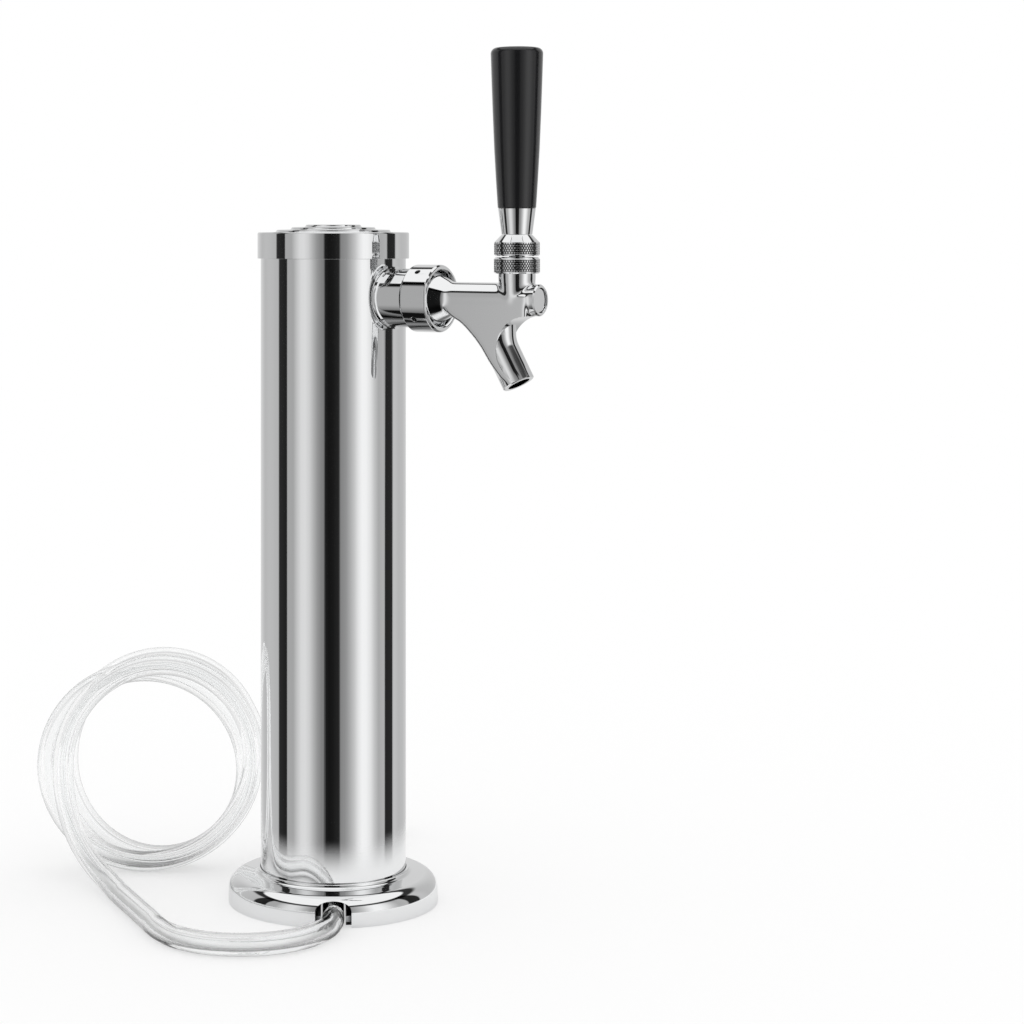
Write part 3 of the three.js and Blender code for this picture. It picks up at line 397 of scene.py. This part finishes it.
print("world with", len(curve.points), "points of light and dark")

# %% [markdown]
# The floor is a wide white sheet. It keeps the object's soft shadow, weakened as a bright studio would. In the
# metal only the sheet close to the foot shows, and further out the glossy rays pass to the panels.

# %% Floor
FLOOR_SIZE = 6
SHEET_FADE = (0.20, 0.11)
SHADOW_SHARE = 0.45
select_only()
bpy.ops.mesh.primitive_plane_add(size=FLOOR_SIZE, location=(COLUMN_X, 0, 0))
floor = bpy.context.object
floor.name = "floor"
apply_place(floor)
sheet = bpy.data.materials.new("white_sheet")
sheet.use_nodes = True
tree = sheet.node_tree
tree.nodes.clear()
spot = add_node(tree, "ShaderNodeVectorMath", operation="DISTANCE")
feed(tree, spot.inputs[0], add_node(tree, "ShaderNodeTexCoord").outputs["Object"])
feed(tree, spot.inputs[1], (COLUMN_X, 0, 0))
near = fade(tree, spot.outputs["Value"], *SHEET_FADE)
matte = add_node(tree, "ShaderNodeBsdfDiffuse")
matte.inputs["Color"].default_value = (1, 1, 1, 1)
glow = add_node(tree, "ShaderNodeEmission")
clear = add_node(tree, "ShaderNodeBsdfTransparent")
rays = add_node(tree, "ShaderNodeLightPath")
in_view = mix_shaders(tree, SHADOW_SHARE, glow.outputs[0], matte.outputs[0])
in_metal = mix_shaders(tree, near, clear.outputs[0], matte.outputs[0])
seen = mix_shaders(tree, rays.outputs["Is Camera Ray"], matte.outputs[0], in_view)
outside = calc(tree, "LESS_THAN", rays.outputs["Transmission Depth"], 0.5)
seen = mix_shaders(tree, calc(tree, "MULTIPLY", rays.outputs["Is Glossy Ray"], outside), seen, in_metal)
output = add_node(tree, "ShaderNodeOutputMaterial")
feed(tree, output.inputs["Surface"], seen)
floor.data.materials.append(sheet)
bpy.context.scene.view_settings.view_transform = "Standard"
print("floor laid")

# %% [markdown]
# ## Finishes
# Polished stainless steel and chrome plate are both bare metal with a very low roughness. Plain steel parts
# inside are duller. Vinyl is a clear plastic that takes away very little light. Deep holes and grooves in chrome
# look dark, since light is lost between their walls, so a node group paints that shade into the chrome's
# colour where a mesh is marked for it. Each finish goes to the frame's own solids by their slot, and the new
# pieces take theirs from the same table.

# %% Materials
# The mesh attribute that marks where shade is painted into chrome, and how far that painted shade darkens its
# colour.
SHADE_ATTRIBUTE = "shade_in_recess"
RECESS_SHADE_SHARE = 0.85


def painted_recess_shade():
    """A node group that paints shade into a metal's colour where its mesh is marked, such as in a deep hole or
    groove.
    """
    group = bpy.data.node_groups.new("painted_recess_shade", "ShaderNodeTree")
    group.interface.new_socket("Metal", in_out="INPUT", socket_type="NodeSocketColor")
    group.interface.new_socket("Color", in_out="OUTPUT", socket_type="NodeSocketColor")
    marked = add_node(group, "ShaderNodeAttribute", attribute_name=SHADE_ATTRIBUTE).outputs["Fac"]
    darker = add_node(group, "ShaderNodeVectorMath", operation="SCALE")
    feed(group, darker.inputs[0], add_node(group, "NodeGroupInput").outputs["Metal"])
    feed(group, darker.inputs["Scale"], calc(group, "MULTIPLY_ADD", marked, -RECESS_SHADE_SHARE, 1.0))
    feed(group, add_node(group, "NodeGroupOutput").inputs["Color"], darker.outputs[0])
    return group


def finish(name, colour, roughness, metallic=0.0, **more):
    material = bpy.data.materials.new(name)
    material.use_nodes = True
    shader = material.node_tree.nodes["Principled BSDF"]
    shader.inputs["Base Color"].default_value = (*colour, 1)
    shader.inputs["Roughness"].default_value = roughness
    shader.inputs["Metallic"].default_value = metallic
    for socket, value in more.items():
        shader.inputs[socket.replace("_", " ")].default_value = value
    return material


# Colour, roughness and how far it is metal, by slot.
FINISHES = {
    "polished_stainless": finish("polished_stainless", (0.86, 0.865, 0.87), 0.035, 1.0),
    "chrome_plate": finish("chrome_plate", (0.87, 0.875, 0.88), 0.04, 1.0),
    "plain_steel": finish("plain_steel", (0.55, 0.56, 0.57), 0.3, 1.0),
    "insert_brass": finish("insert_brass", (0.72, 0.52, 0.25), 0.25, 1.0),
    "grip_black": finish("grip_black", (0.008, 0.008, 0.009), 0.22, 0.0, Coat_Weight=0.3, Coat_Roughness=0.08),
    "plug_grey": finish("plug_grey", (0.15, 0.155, 0.16), 0.5),
    "nylon_white": finish("nylon_white", (0.8, 0.78, 0.72), 0.4),
    "seal_rubber": finish("seal_rubber", (0.012, 0.012, 0.013), 0.65),
    "foam_cream": finish("foam_cream", (0.7, 0.62, 0.42), 0.9),
    "clear_vinyl": finish("clear_vinyl", (0.98, 0.983, 0.983), 0.02, 0.0, Transmission_Weight=1.0, IOR=1.45),
}
# Chrome's colour runs through the group that paints shade into marked holes and grooves.
tree = FINISHES["chrome_plate"].node_tree
shade_in_recess = add_node(tree, "ShaderNodeGroup", node_tree=painted_recess_shade())
shader = tree.nodes["Principled BSDF"]
shade_in_recess.inputs["Metal"].default_value = shader.inputs["Base Color"].default_value
feed(tree, shader.inputs["Base Color"], shade_in_recess.outputs["Color"])
print("finishes", len(FINISHES))

# %% [markdown]
# Every solid of the frame first gets the finish of its slot. The pieces that follow take over from some.

# %% Dress the frame's solids
SLOTS = {part["node"]: part["material_slot"] for part in frame["record"]["subparts"]}
for name, node in frame["nodes"].items():
    node.data.materials.clear()
    node.data.materials.append(FINISHES[SLOTS[name]])
beer_line.data.materials.append(FINISHES["clear_vinyl"])
print("dressed", len(SLOTS), "solids")

# %% [markdown]
# ## Turned pieces
# Most of the dispenser comes off a lathe: column, cover, cap, nuts, rings and grip. A turned piece is an
# outline swept round its axis, so a point is extruded along half of the section and the line is then spun.
# The spin repeats the first and last outline, and merging by distance closes that seam.

# %% Helpers for turned pieces
TAP_X, TAP_Z = 3.35, 316.5
NECK_X = TAP_X + 72.7
PIVOT_Z = TAP_Z + 13.5
EDGE_SEGMENTS = 3


def tidy_mesh(piece):
    select_only(piece)
    bpy.ops.object.mode_set(mode="EDIT")
    bpy.ops.mesh.select_mode(type="VERT")
    bpy.ops.mesh.select_all(action="SELECT")
    bpy.ops.mesh.remove_doubles(threshold=1e-6)
    bpy.ops.mesh.dissolve_degenerate(threshold=1e-7)
    bpy.ops.mesh.normals_make_consistent(inside=False)
    leave_edit()


def drawn_line(name, outline, side=0.0):
    """A new piece, left in edit mode, with its points joined along an outline of (x, z) in millimetres."""
    select_only()
    bpy.ops.mesh.primitive_plane_add(size=MM, location=(0, 0, 0))
    piece = bpy.context.object
    piece.name = name
    bpy.ops.object.mode_set(mode="EDIT")
    bpy.ops.mesh.select_mode(type="VERT")
    bpy.ops.mesh.select_all(action="SELECT")
    bpy.ops.mesh.merge(type="CENTER")
    bpy.ops.transform.translate(value=(outline[0][0] * MM, side * MM, outline[0][1] * MM))
    for (x, z), (u, w) in zip(outline, outline[1:]):
        bpy.ops.mesh.extrude_vertices_move(
            TRANSFORM_OT_translate={"value": ((u - x) * MM, 0, (w - z) * MM)})
    bpy.ops.mesh.select_all(action="SELECT")
    return piece


def spun(name, outline, steps=96, place=(0, 0, 0), forward=False):
    """A piece turned from its outline of (radius, height) points in millimetres."""
    piece = drawn_line(name, outline)
    bpy.ops.mesh.spin(steps=steps, angle=2 * math.pi, center=(0, 0, 0), axis=(0, 0, 1))
    leave_edit()
    tidy_mesh(piece)
    if forward:
        piece.rotation_euler = (0, math.radians(90), 0)
    piece.location = Vector(place) * MM
    apply_place(piece)
    return piece


def on_column(name, outline, steps=192):
    return spun(name, outline, steps, (COLUMN_X / MM, 0, 0))


def on_tap(name, outline, steps=96):
    """A piece turned about the tap's own axis, with heights measured forward from the column's skin."""
    return spun(name, outline, steps, (TAP_X, 0, TAP_Z), forward=True)


def on_pivot(name, outline, steps):
    return spun(name, outline, steps, (NECK_X, 0, PIVOT_Z))


def round_edges(piece, width, angle=35):
    bevel = piece.modifiers.new("edges", "BEVEL")
    bevel.width = width * MM
    bevel.segments = EDGE_SEGMENTS
    bevel.limit_method = "ANGLE"
    bevel.angle_limit = math.radians(angle)
    bevel.use_clamp_overlap = True
    select_only(piece)
    bpy.ops.object.modifier_apply(modifier=bevel.name)


def even_shading(piece, angle=35):
    """Smooth shading whose normals follow the larger faces, so flat faces look flat beside round edges."""
    select_only(piece)
    bpy.ops.object.shade_smooth_by_angle(angle=math.radians(angle))
    weigh = piece.modifiers.new("shading", "WEIGHTED_NORMAL")
    weigh.keep_sharp = True
    bpy.ops.object.modifier_apply(modifier=weigh.name)


def combine(piece, operation, *others):
    """Joins others to the piece, cuts them out of it or keeps what they share, and throws the others away."""
    for other in others:
        change = piece.modifiers.new("combine", "BOOLEAN")
        change.operation = operation
        change.solver = "EXACT"
        change.object = other
        select_only(piece)
        bpy.ops.object.modifier_apply(modifier=change.name)
        bpy.data.objects.remove(other)


def carve(piece, *tools):
    combine(piece, "DIFFERENCE", *tools)


def paint_recess_shade(piece, test, amount=1.0):
    """Marks the vertices that pass the test with painted shade, so that the metal's colour is darker there."""
    marks = piece.data.attributes.new(SHADE_ATTRIBUTE, "FLOAT", "POINT")
    for vertex, mark in zip(piece.data.vertices, marks.data):
        mark.value = amount if test(vertex.co) else 0.0


def settle(piece, body, *nodes):
    """Hands a finished piece over: its finish, the body it moves with and the solids it stands for."""
    slot = SLOTS[nodes[0]]
    piece.data.materials.clear()
    piece.data.materials.append(FINISHES[slot])
    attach(piece, body)
    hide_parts(*nodes)
    print(piece.name, len(piece.data.polygons), "faces")
    return piece


def corner(centre, radius, start, end, steps=6):
    """Points on a round corner of an outline, with angles in degrees from its radius direction."""
    angles = [math.radians(start + (end - start) * i / steps) for i in range(steps + 1)]
    return [(centre[0] + radius * math.cos(a), centre[1] + radius * math.sin(a)) for a in angles]


# %% [markdown]
# ## The column
# A welded tube with a 1.4 mm wall, polished all over. The shank of the tap passes through a hole near its
# top, and the line passes a low arch at its foot.

# %% Column
COLUMN_IN, COLUMN_OUT, COLUMN_LOW, COLUMN_HIGH = 36.7, 38.1, 4.5, 348.7
SHANK_HOLE = 11.4


def bar(radius, low, high):
    """The outline of a plain round bar."""
    return [(0, low), (radius, low), (radius, high), (0, high), (0, low)]


def arch_bar(name, width, side, height, start, end):
    """An upright arch shaped bar that points along the notch, for cutting the line's way through the foot."""
    half = width / 2
    outline = [(-half, -2), (half, -2), (half, side)]
    outline += [(half * math.cos(a), side + (height - side) * math.sin(a) ** 0.9)
                for a in (math.radians(d) for d in range(10, 180, 10))]
    outline += [(-half, side)]
    piece = drawn_line(name, outline, -start)
    bpy.ops.mesh.edge_face_add()
    bpy.ops.mesh.extrude_region_move(TRANSFORM_OT_translate={"value": (0, (start - end) * MM, 0)})
    bpy.ops.mesh.select_all(action="SELECT")
    bpy.ops.mesh.normals_make_consistent(inside=False)
    leave_edit()
    piece.rotation_euler = (0, 0, TAP_TURN)
    piece.location = (COLUMN_X, 0, 0)
    apply_place(piece)
    return piece


column = on_column("column", [
    (COLUMN_IN, COLUMN_LOW), (COLUMN_OUT, COLUMN_LOW), (COLUMN_OUT, COLUMN_HIGH), (COLUMN_IN, COLUMN_HIGH),
    (COLUMN_IN, COLUMN_LOW),
])
carve(
    column,
    on_tap("shank_way", bar(SHANK_HOLE, -38, 10)),
    arch_bar("line_way", width=12.7, side=5.6, height=11.95, start=18, end=80),
)
round_edges(column, 0.25)
even_shading(column)
settle(column, "tower", "tower_column")

# %% [markdown]
# ## The foot's cover
# A pressed ring of thin sheet that hides the flange and its screws. Its rim stands upright, turns over a
# round shoulder and slopes gently up to a small cove and a lip that touch the column.

# %% Cover
SHOULDER = (46.8, 6.8)
FIT = COLUMN_OUT + 0.3
cover = on_column("foot_cover", [
    (54, 0), (55, 0), *corner(SHOULDER, 8, 0, 90, 20), *corner((41.5, 17.5), 1.9, 270, 180, 8),
    (39.6, 17.9), (FIT, 17.9), (FIT, 14.2), (41.5, 14.2), *corner(SHOULDER, 7, 90, 0, 14), (54, 0),
])
carve(cover, arch_bar("notch", width=18.4, side=8.2, height=12.9, start=49.5, end=60))
even_shading(cover, 40)
settle(cover, "foot_cover", "base_cover")

# %% [markdown]
# ## The cap
# A shallow lid with an upright skirt. Three low steps are pressed into its roof, one inside the other.

# %% Cap
SKIRT_FOOT, ROOF, CAP_TOP = 336.6, 349, 354.35
CAP_STEPS = [(29.65, 350.47, 351.65), (21.81, 351.82, 353.0), (14.25, 353.17, CAP_TOP)]
outline = [(FIT, SKIRT_FOOT), (39.8, SKIRT_FOOT), *corner((39.0, 349.5), 0.8, 0, 90, 5)]
for radius, low, high in CAP_STEPS:
    outline += [(radius + 0.9, low), (radius + 0.35, low + 0.35), (radius + 0.2, high - 0.35), (radius - 0.35, high)]
outline += [(0, CAP_TOP), (0, ROOF), (FIT, ROOF), (FIT, SKIRT_FOOT)]
cap = on_column("cap", outline)
round_edges(cap, 0.2, 50)
even_shading(cap)
settle(cap, "cap", "top_cap")

# %% [markdown]
# ## Saddle and coupling nut
# The saddle is a sleeve round the shank with a thin lip that follows the column's skin. The lip is what a short
# bar and a slightly wider column share. The bore and the column's skin are cut last, through both.
# The nut next to it has four small holes for a pin spanner, and its mouth takes the tap's collar.

# %% Saddle
SLEEVE, LIP, LIP_FACE = 15.1, 16.2, 39.6


def round_column(name, radius):
    return on_column(name, bar(radius, 280, 345), 256)


saddle = on_tap("shank_sleeve", [(0, -19), (SLEEVE, -19), (SLEEVE, 12.3), (14.2, 13.2), (0, 13.2), (0, -19)], 128)
lip = on_tap("lip", bar(LIP, -18.5, 12), 128)
combine(lip, "INTERSECT", round_column("lip_face", LIP_FACE))
combine(saddle, "UNION", lip)
carve(saddle, on_tap("bore", bar(SHANK_HOLE, -20, 14), 128), round_column("skin", FIT))
round_edges(saddle, 0.2, 40)
even_shading(saddle)
settle(saddle, "tower", "shank_saddle")

# %% Coupling nut
NUT, NUT_MOUTH = 17.25, 14.4
PIN_X, PIN_HOLE, PIN_DEPTH, PIN_TURN = 20.5, 1.45, 2.2, 37
PIN_HOLES = 4
nut = on_tap("coupling_nut_body", [
    (SHANK_HOLE, 13.5), (16.35, 13.5), (NUT, 14.4), (NUT, 28.0), (16.35, 28.9), (15.2, 28.9), (NUT_MOUTH, 28.1),
    (NUT_MOUTH, 15.9), (SHANK_HOLE, 15.9), (SHANK_HOLE, 13.5),
], 128)
for i in range(PIN_HOLES):
    angle = math.radians(PIN_TURN + 90 * i)
    select_only()
    bpy.ops.mesh.primitive_cylinder_add(vertices=32, radius=PIN_HOLE * MM, depth=2 * PIN_DEPTH * MM)
    pin = bpy.context.object
    pin.rotation_euler = (angle, 0, 0)
    out = Vector((0, -math.sin(angle), math.cos(angle)))
    pin.location = (Vector((TAP_X + PIN_X, 0, TAP_Z)) + out * NUT) * MM
    apply_place(pin)
    carve(nut, pin)
round_edges(nut, 0.22, 30)
even_shading(nut, 40)
# Painted shade darkens the chrome inside the pin holes.
paint_recess_shade(nut, lambda co: abs(co.x / MM - TAP_X - PIN_X) < 1.2 * PIN_HOLE
            and NUT_MOUTH + 0.2 < math.hypot(co.y / MM, co.z / MM - TAP_Z) < NUT - 0.45)
settle(nut, "tower", "coupling_nut")

# %% [markdown]
# ## The tap's body
# The body is one casting: a bell, a barrel, a spout that drops and then leans forward, and a flat web that
# fills the room between them behind the spout. Plain solids for these are joined and remeshed into one skin, and
# smoothing rounds their meetings like the fillets of a casting. Then the machined faces and bores are cut, so
# that they stay crisp. The arch under the barrel's front end is a cut too. Its tool first loses what it must
# spare, which is the spout and the guide of the valve.

# %% Spout and web
SPOUT_LEAN = math.radians(29)
SPOUT_X, SPOUT_BEND_Z, SPOUT_BEND = 62.7, -16.6, 20
SPOUT_LENGTH, SPOUT, SPOUT_BORE = 17.9, 8.5, 5.8


def tap_place(x, z):
    return Vector((TAP_X + x, 0, TAP_Z + z)) * MM


def spout_points(extra):
    """The spout's middle line: down, round a bend and forward."""
    forward = Vector((math.sin(SPOUT_LEAN), 0, -math.cos(SPOUT_LEAN)))
    side = SPOUT_BEND * math.tan(SPOUT_LEAN / 2)
    start = Vector((SPOUT_X, 0, SPOUT_BEND_Z))
    turn = start - Vector((0, 0, side))
    end = turn + forward * side
    bend = [start.lerp(turn, i / 8).lerp(turn.lerp(end, i / 8), i / 8) for i in range(9)]
    drop = [Vector((SPOUT_X, 0, z)) for z in (0, -8)]
    points = [*drop, *bend, end + forward * 8, end + forward * (SPOUT_LENGTH + extra)]
    return [tap_place(p.x, p.z) for p in points]


def rod_along(name, points, radius, sides=32):
    """A round bar along points with closed ends."""
    piece = pipe_along(name, points, radius * MM, sides)
    select_only(piece)
    bpy.ops.object.mode_set(mode="EDIT")
    bpy.ops.mesh.select_all(action="DESELECT")
    bpy.ops.mesh.select_mode(type="EDGE")
    bpy.ops.mesh.select_non_manifold()
    bpy.ops.mesh.edge_face_add()
    leave_edit()
    tidy_mesh(piece)
    return piece


def slab(name, outline, thickness):
    """A flat plate in the tap's upright middle plane, from its outline of (x, z) points."""
    piece = drawn_line(name, [(TAP_X + x, TAP_Z + z) for x, z in outline], -thickness / 2)
    bpy.ops.mesh.edge_face_add()
    bpy.ops.mesh.extrude_region_move(TRANSFORM_OT_translate={"value": (0, thickness * MM, 0)})
    bpy.ops.mesh.select_all(action="SELECT")
    bpy.ops.mesh.normals_make_consistent(inside=False)
    leave_edit()
    return piece


WEB = 16.8
BACK_EDGE = [
    (33.9, -2.5), (36.3, -6.6), (39.4, -9), (44.2, -11.69), (51.6, -18.5), (56.4, -24.2), (59.8, -29.3),
    (63.4, -34.1), (67.6, -38.7),
]
LOWER_END = [(71.7, -41), (73.2, -40.7), (65.2, -26.3)]
edge = [(p.x, p.z) for p in smooth_route([(x, 0, z) for x, z in BACK_EDGE])]
ARCH_X, ARCH_Z, ARCH = 82.3, -24.9, 17
arch_points = corner((ARCH_X, ARCH_Z), ARCH - 2.5, 180, 90, 12)
web_outline = [(33.9, 2), *edge, *LOWER_END, *arch_points, (ARCH_X, 2)]
web = slab("web", web_outline, WEB)
print("web", len(web.data.vertices), "points")

# %% Casting
bell = on_tap("bell", [
    (0, 21), (13.9, 21), (13.9, 25.6), (11.0, 30.7), (9.3, 33.9), (8.8, 35.2), (8.6, 37),
    (8.6, 73), (8.0, 77.4), (8.0, 89), (0, 89), (0, 21),
])
neck = spun("neck", [(0, -3), (8.3, -3), (8.9, 5), (9.4, 11), (9.4, 19), (0, 19), (0, -3)], 64, (NECK_X, 0, TAP_Z))
spout = rod_along("spout", spout_points(3), SPOUT)
casting = join_pieces("tap_body", bell, neck, spout, web)


VOXEL, SMOOTHING_ROUNDS = 0.35, 70


def remesh_casting(piece):
    skin = piece.modifiers.new("skin", "REMESH")
    skin.mode = "VOXEL"
    skin.voxel_size = VOXEL * MM
    skin.use_smooth_shade = True
    soften = piece.modifiers.new("soften", "SMOOTH")
    soften.factor = 0.5
    soften.iterations = SMOOTHING_ROUNDS
    select_only(piece)
    bpy.ops.object.modifier_apply(modifier=skin.name)
    bpy.ops.object.modifier_apply(modifier=soften.name)


remesh_casting(casting)
print("casting", len(casting.data.polygons), "faces")

# %% Machined faces
collar = on_tap("collar", [(0, 19.9), (14.1, 19.9), (14.1, 24.5), (13.3, 25.3), (0, 25.3), (0, 19.9)], 128)
combine(casting, "UNION", collar)
lean = spout_points(0)
mouth, way = lean[-1], (lean[-1] - lean[-2]).normalized()


def along_spout(name, outline):
    """A tool turned about the spout's lower end, with heights measured out of its mouth."""
    tool = spun(name, outline, 128)
    tool.rotation_euler = way.to_track_quat("Z", "Y").to_euler()
    tool.location = mouth
    apply_place(tool)
    return tool


select_only()
bpy.ops.mesh.primitive_cylinder_add(
    vertices=128, radius=ARCH * MM, depth=30 * MM,
    location=tap_place(ARCH_X, ARCH_Z), rotation=(math.radians(90), 0, 0),
)
arch_tool = bpy.context.object
apply_place(arch_tool)
carve(
    arch_tool,
    rod_along("spout_room", spout_points(30), SPOUT - 0.2, 48),
    on_tap("guide_room", bar(7.8, 60, 100), 128),
)
carve(
    casting,
    arch_tool,
    on_tap("guide_face", [(0, 86.4), (7.3, 86.4), (10.3, 83.4), (13, 83.4), (13, 95), (0, 95), (0, 86.4)], 128),
    spun("neck_face", [(0, 16.3), (9.2, 16.3), (9.2, 13), (14, 13), (14, 22), (0, 22), (0, 16.3)], 128,
         (NECK_X, 0, TAP_Z)),
    along_spout("spout_face", [(0, 0), (7.9, 0), (9.9, -2), (13, -2), (13, 8), (0, 8), (0, 0)]),
    rod_along("spout_way", [*lean, mouth + way * 3 * MM], SPOUT_BORE, 48),
    on_tap("through_way", bar(6.3, 21.9, 90), 128),
    on_tap("seat_way", bar(8.2, 17.9, 23.9)),
    spun("finger_way", [(0, 0), (6, 0), (6, 11.6), (6.6, 11.6), (6.6, 20), (0, 20), (0, 0)], 96,
         (NECK_X, 0, TAP_Z)),
)
select_only(casting)
bpy.ops.object.shade_smooth_by_angle(angle=math.radians(32))
settle(casting, "tower", "faucet_body")

# %% [markdown]
# ## The valve's shaft
# A thin rod with a thick head in the barrel's bore. The head has a slot from above, and the finger of the lever
# reaches into it and pushes the shaft.

# %% Valve shaft
SLOT_MIDDLE, SLOT_SIZE = (73.75, 3.1), (8.1, 5.7, 12)
shaft = on_tap("valve_head", [
    (0, 13.7), (2.2, 13.7), (2.2, 23.8), (2.6, 23.8), (2.6, 68.2), (6, 68.2), (6, 85.4), (5.7, 85.7), (0, 85.7),
    (0, 13.7),
])
select_only()
bpy.ops.mesh.primitive_cube_add(size=1, location=tap_place(*SLOT_MIDDLE), scale=[side * MM for side in SLOT_SIZE])
slot_tool = bpy.context.object
apply_place(slot_tool)
carve(shaft, slot_tool)
even_shading(shaft)
settle(shaft, "valve", "valve_shaft")

# %% [markdown]
# ## The closing spring
# The spring stands between the shank and the valve's nut. A copy of the frame's spring keeps its turns and takes
# over from it.

# %% Closing spring
frame_spring = frame["nodes"]["closing_spring"]
pressed_spring = bpy.data.objects.new("pressed_spring", frame_spring.data.copy())
bpy.context.scene.collection.objects.link(pressed_spring)
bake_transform(pressed_spring)
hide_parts("closing_spring")

# %% [markdown]
# ## Bonnet, lever collar and ferrule
# A knurled bonnet holds the lever's ball in the neck. A knurled collar above it locks the handle, and is hollow
# underneath, so that it clears the bonnet as the lever tilts. The knurl is a band with two families of slanting
# grooves: the points of the band's grid that lie on one are pushed in and get painted shade in their colour.

# %% Knurled rings
KNURL_COLUMNS, KNURL_ROW, KNURL_DEPTH = 216, 0.55, 0.3
# A groove runs along every fourth diagonal of the grid, and the second number is the share of painted shade in the
# grooves.
GROOVE_EVERY, GROOVE_SHADE = 4, 0.55


def knurled(name, outline, radius, low, high):
    """A ring on the pivot's axis whose upright face at the radius, from low to high, has crossing grooves."""
    rows = round((high - low) / KNURL_ROW)
    row = (high - low) / rows
    band = [(radius, low + row * i) for i in range(rows + 1)]
    at = outline.index("band")
    piece = on_pivot(name, [*outline[:at], *band, *outline[at + 1:]], KNURL_COLUMNS)

    def on_band(co):
        out = math.hypot(co.x / MM - NECK_X, co.y / MM)
        return out > radius - KNURL_DEPTH - 0.01 and low + row / 2 < co.z / MM - PIVOT_Z < high - row / 2

    def in_groove(co):
        turn = math.atan2(co.y / MM, co.x / MM - NECK_X) / (2 * math.pi) % 1
        across, up = round(turn * KNURL_COLUMNS), round((co.z / MM - PIVOT_Z - low) / row)
        return on_band(co) and ((across + up) % GROOVE_EVERY == 0 or (across - up) % GROOVE_EVERY == 0)

    select_where(piece, in_groove)
    share = 1 - KNURL_DEPTH / radius
    bpy.ops.transform.resize(value=(share, share, 1), center_override=(NECK_X * MM, 0, PIVOT_Z * MM))
    leave_edit()
    select_where(piece, on_band, "FACE")
    bpy.ops.mesh.quads_convert_to_tris(quad_method="SHORTEST_DIAGONAL")
    leave_edit()
    select_only(piece)
    bpy.ops.object.shade_smooth_by_angle(angle=math.radians(20))
    # Painted shade darkens the knurl's grooves.
    paint_recess_shade(piece, in_groove, GROOVE_SHADE)
    return piece


bonnet = knurled("knurled_bonnet", [
    (9.5, -0.2), (10.9, -0.2), (11.2, 0.1), "band", (11.2, 7.3), (10.6, 8), (8.1, 8), (6.0, 3.8),
    (9.5, 3.8), (9.5, -0.2),
], radius=11.5, low=0.4, high=7.0)
settle(bonnet, "tower", "lever_bonnet")
HOLLOW, COLLAR_FOOT, STEM_HOLE = 13.8, 8.6, 4.3
low_angle = math.degrees(math.asin(COLLAR_FOOT / HOLLOW))
high_angle = math.degrees(math.acos(STEM_HOLE / HOLLOW))
hollow = corner((0, 0), HOLLOW, high_angle, low_angle)
lever_collar = knurled("knurled_collar", [
    *hollow, (10.85, COLLAR_FOOT), (11.1, 8.9), "band", (11.1, 15.6), (7.7, 19.1), (STEM_HOLE, 19.1), hollow[0],
], radius=11.4, low=9.1, high=15.4)
settle(lever_collar, "lever", "lever_collar")

# %% Ferrule
ferrule = on_pivot("grip_ferrule", [
    (STEM_HOLE, 19.2), (7.5, 19.2), (7.7, 19.4), (9.4, 32.2), (9.2, 32.4), (STEM_HOLE, 32.4), (STEM_HOLE, 19.2),
], 128)
even_shading(ferrule)
settle(ferrule, "lever", "handle_ferrule")

# %% [markdown]
# The grip is moulded in glossy black. It swells from the ferrule and ends in a flat top with a round edge.

# %% Grip
grip = on_pivot("grip", [
    (0, 50.8), (6.3, 50.8), (6.3, 32.5), (9.4, 32.5), (9.6, 32.8), (10.45, 46), (11.35, 62), (12.1, 80),
    (12.6, 94), (12.95, 105), *corner((10.1, 109.7), 3, 0, 90, 10), (0, 112.7), (0, 50.8)], 128)
even_shading(grip, 50)
settle(grip, "lever", "handle_grip")
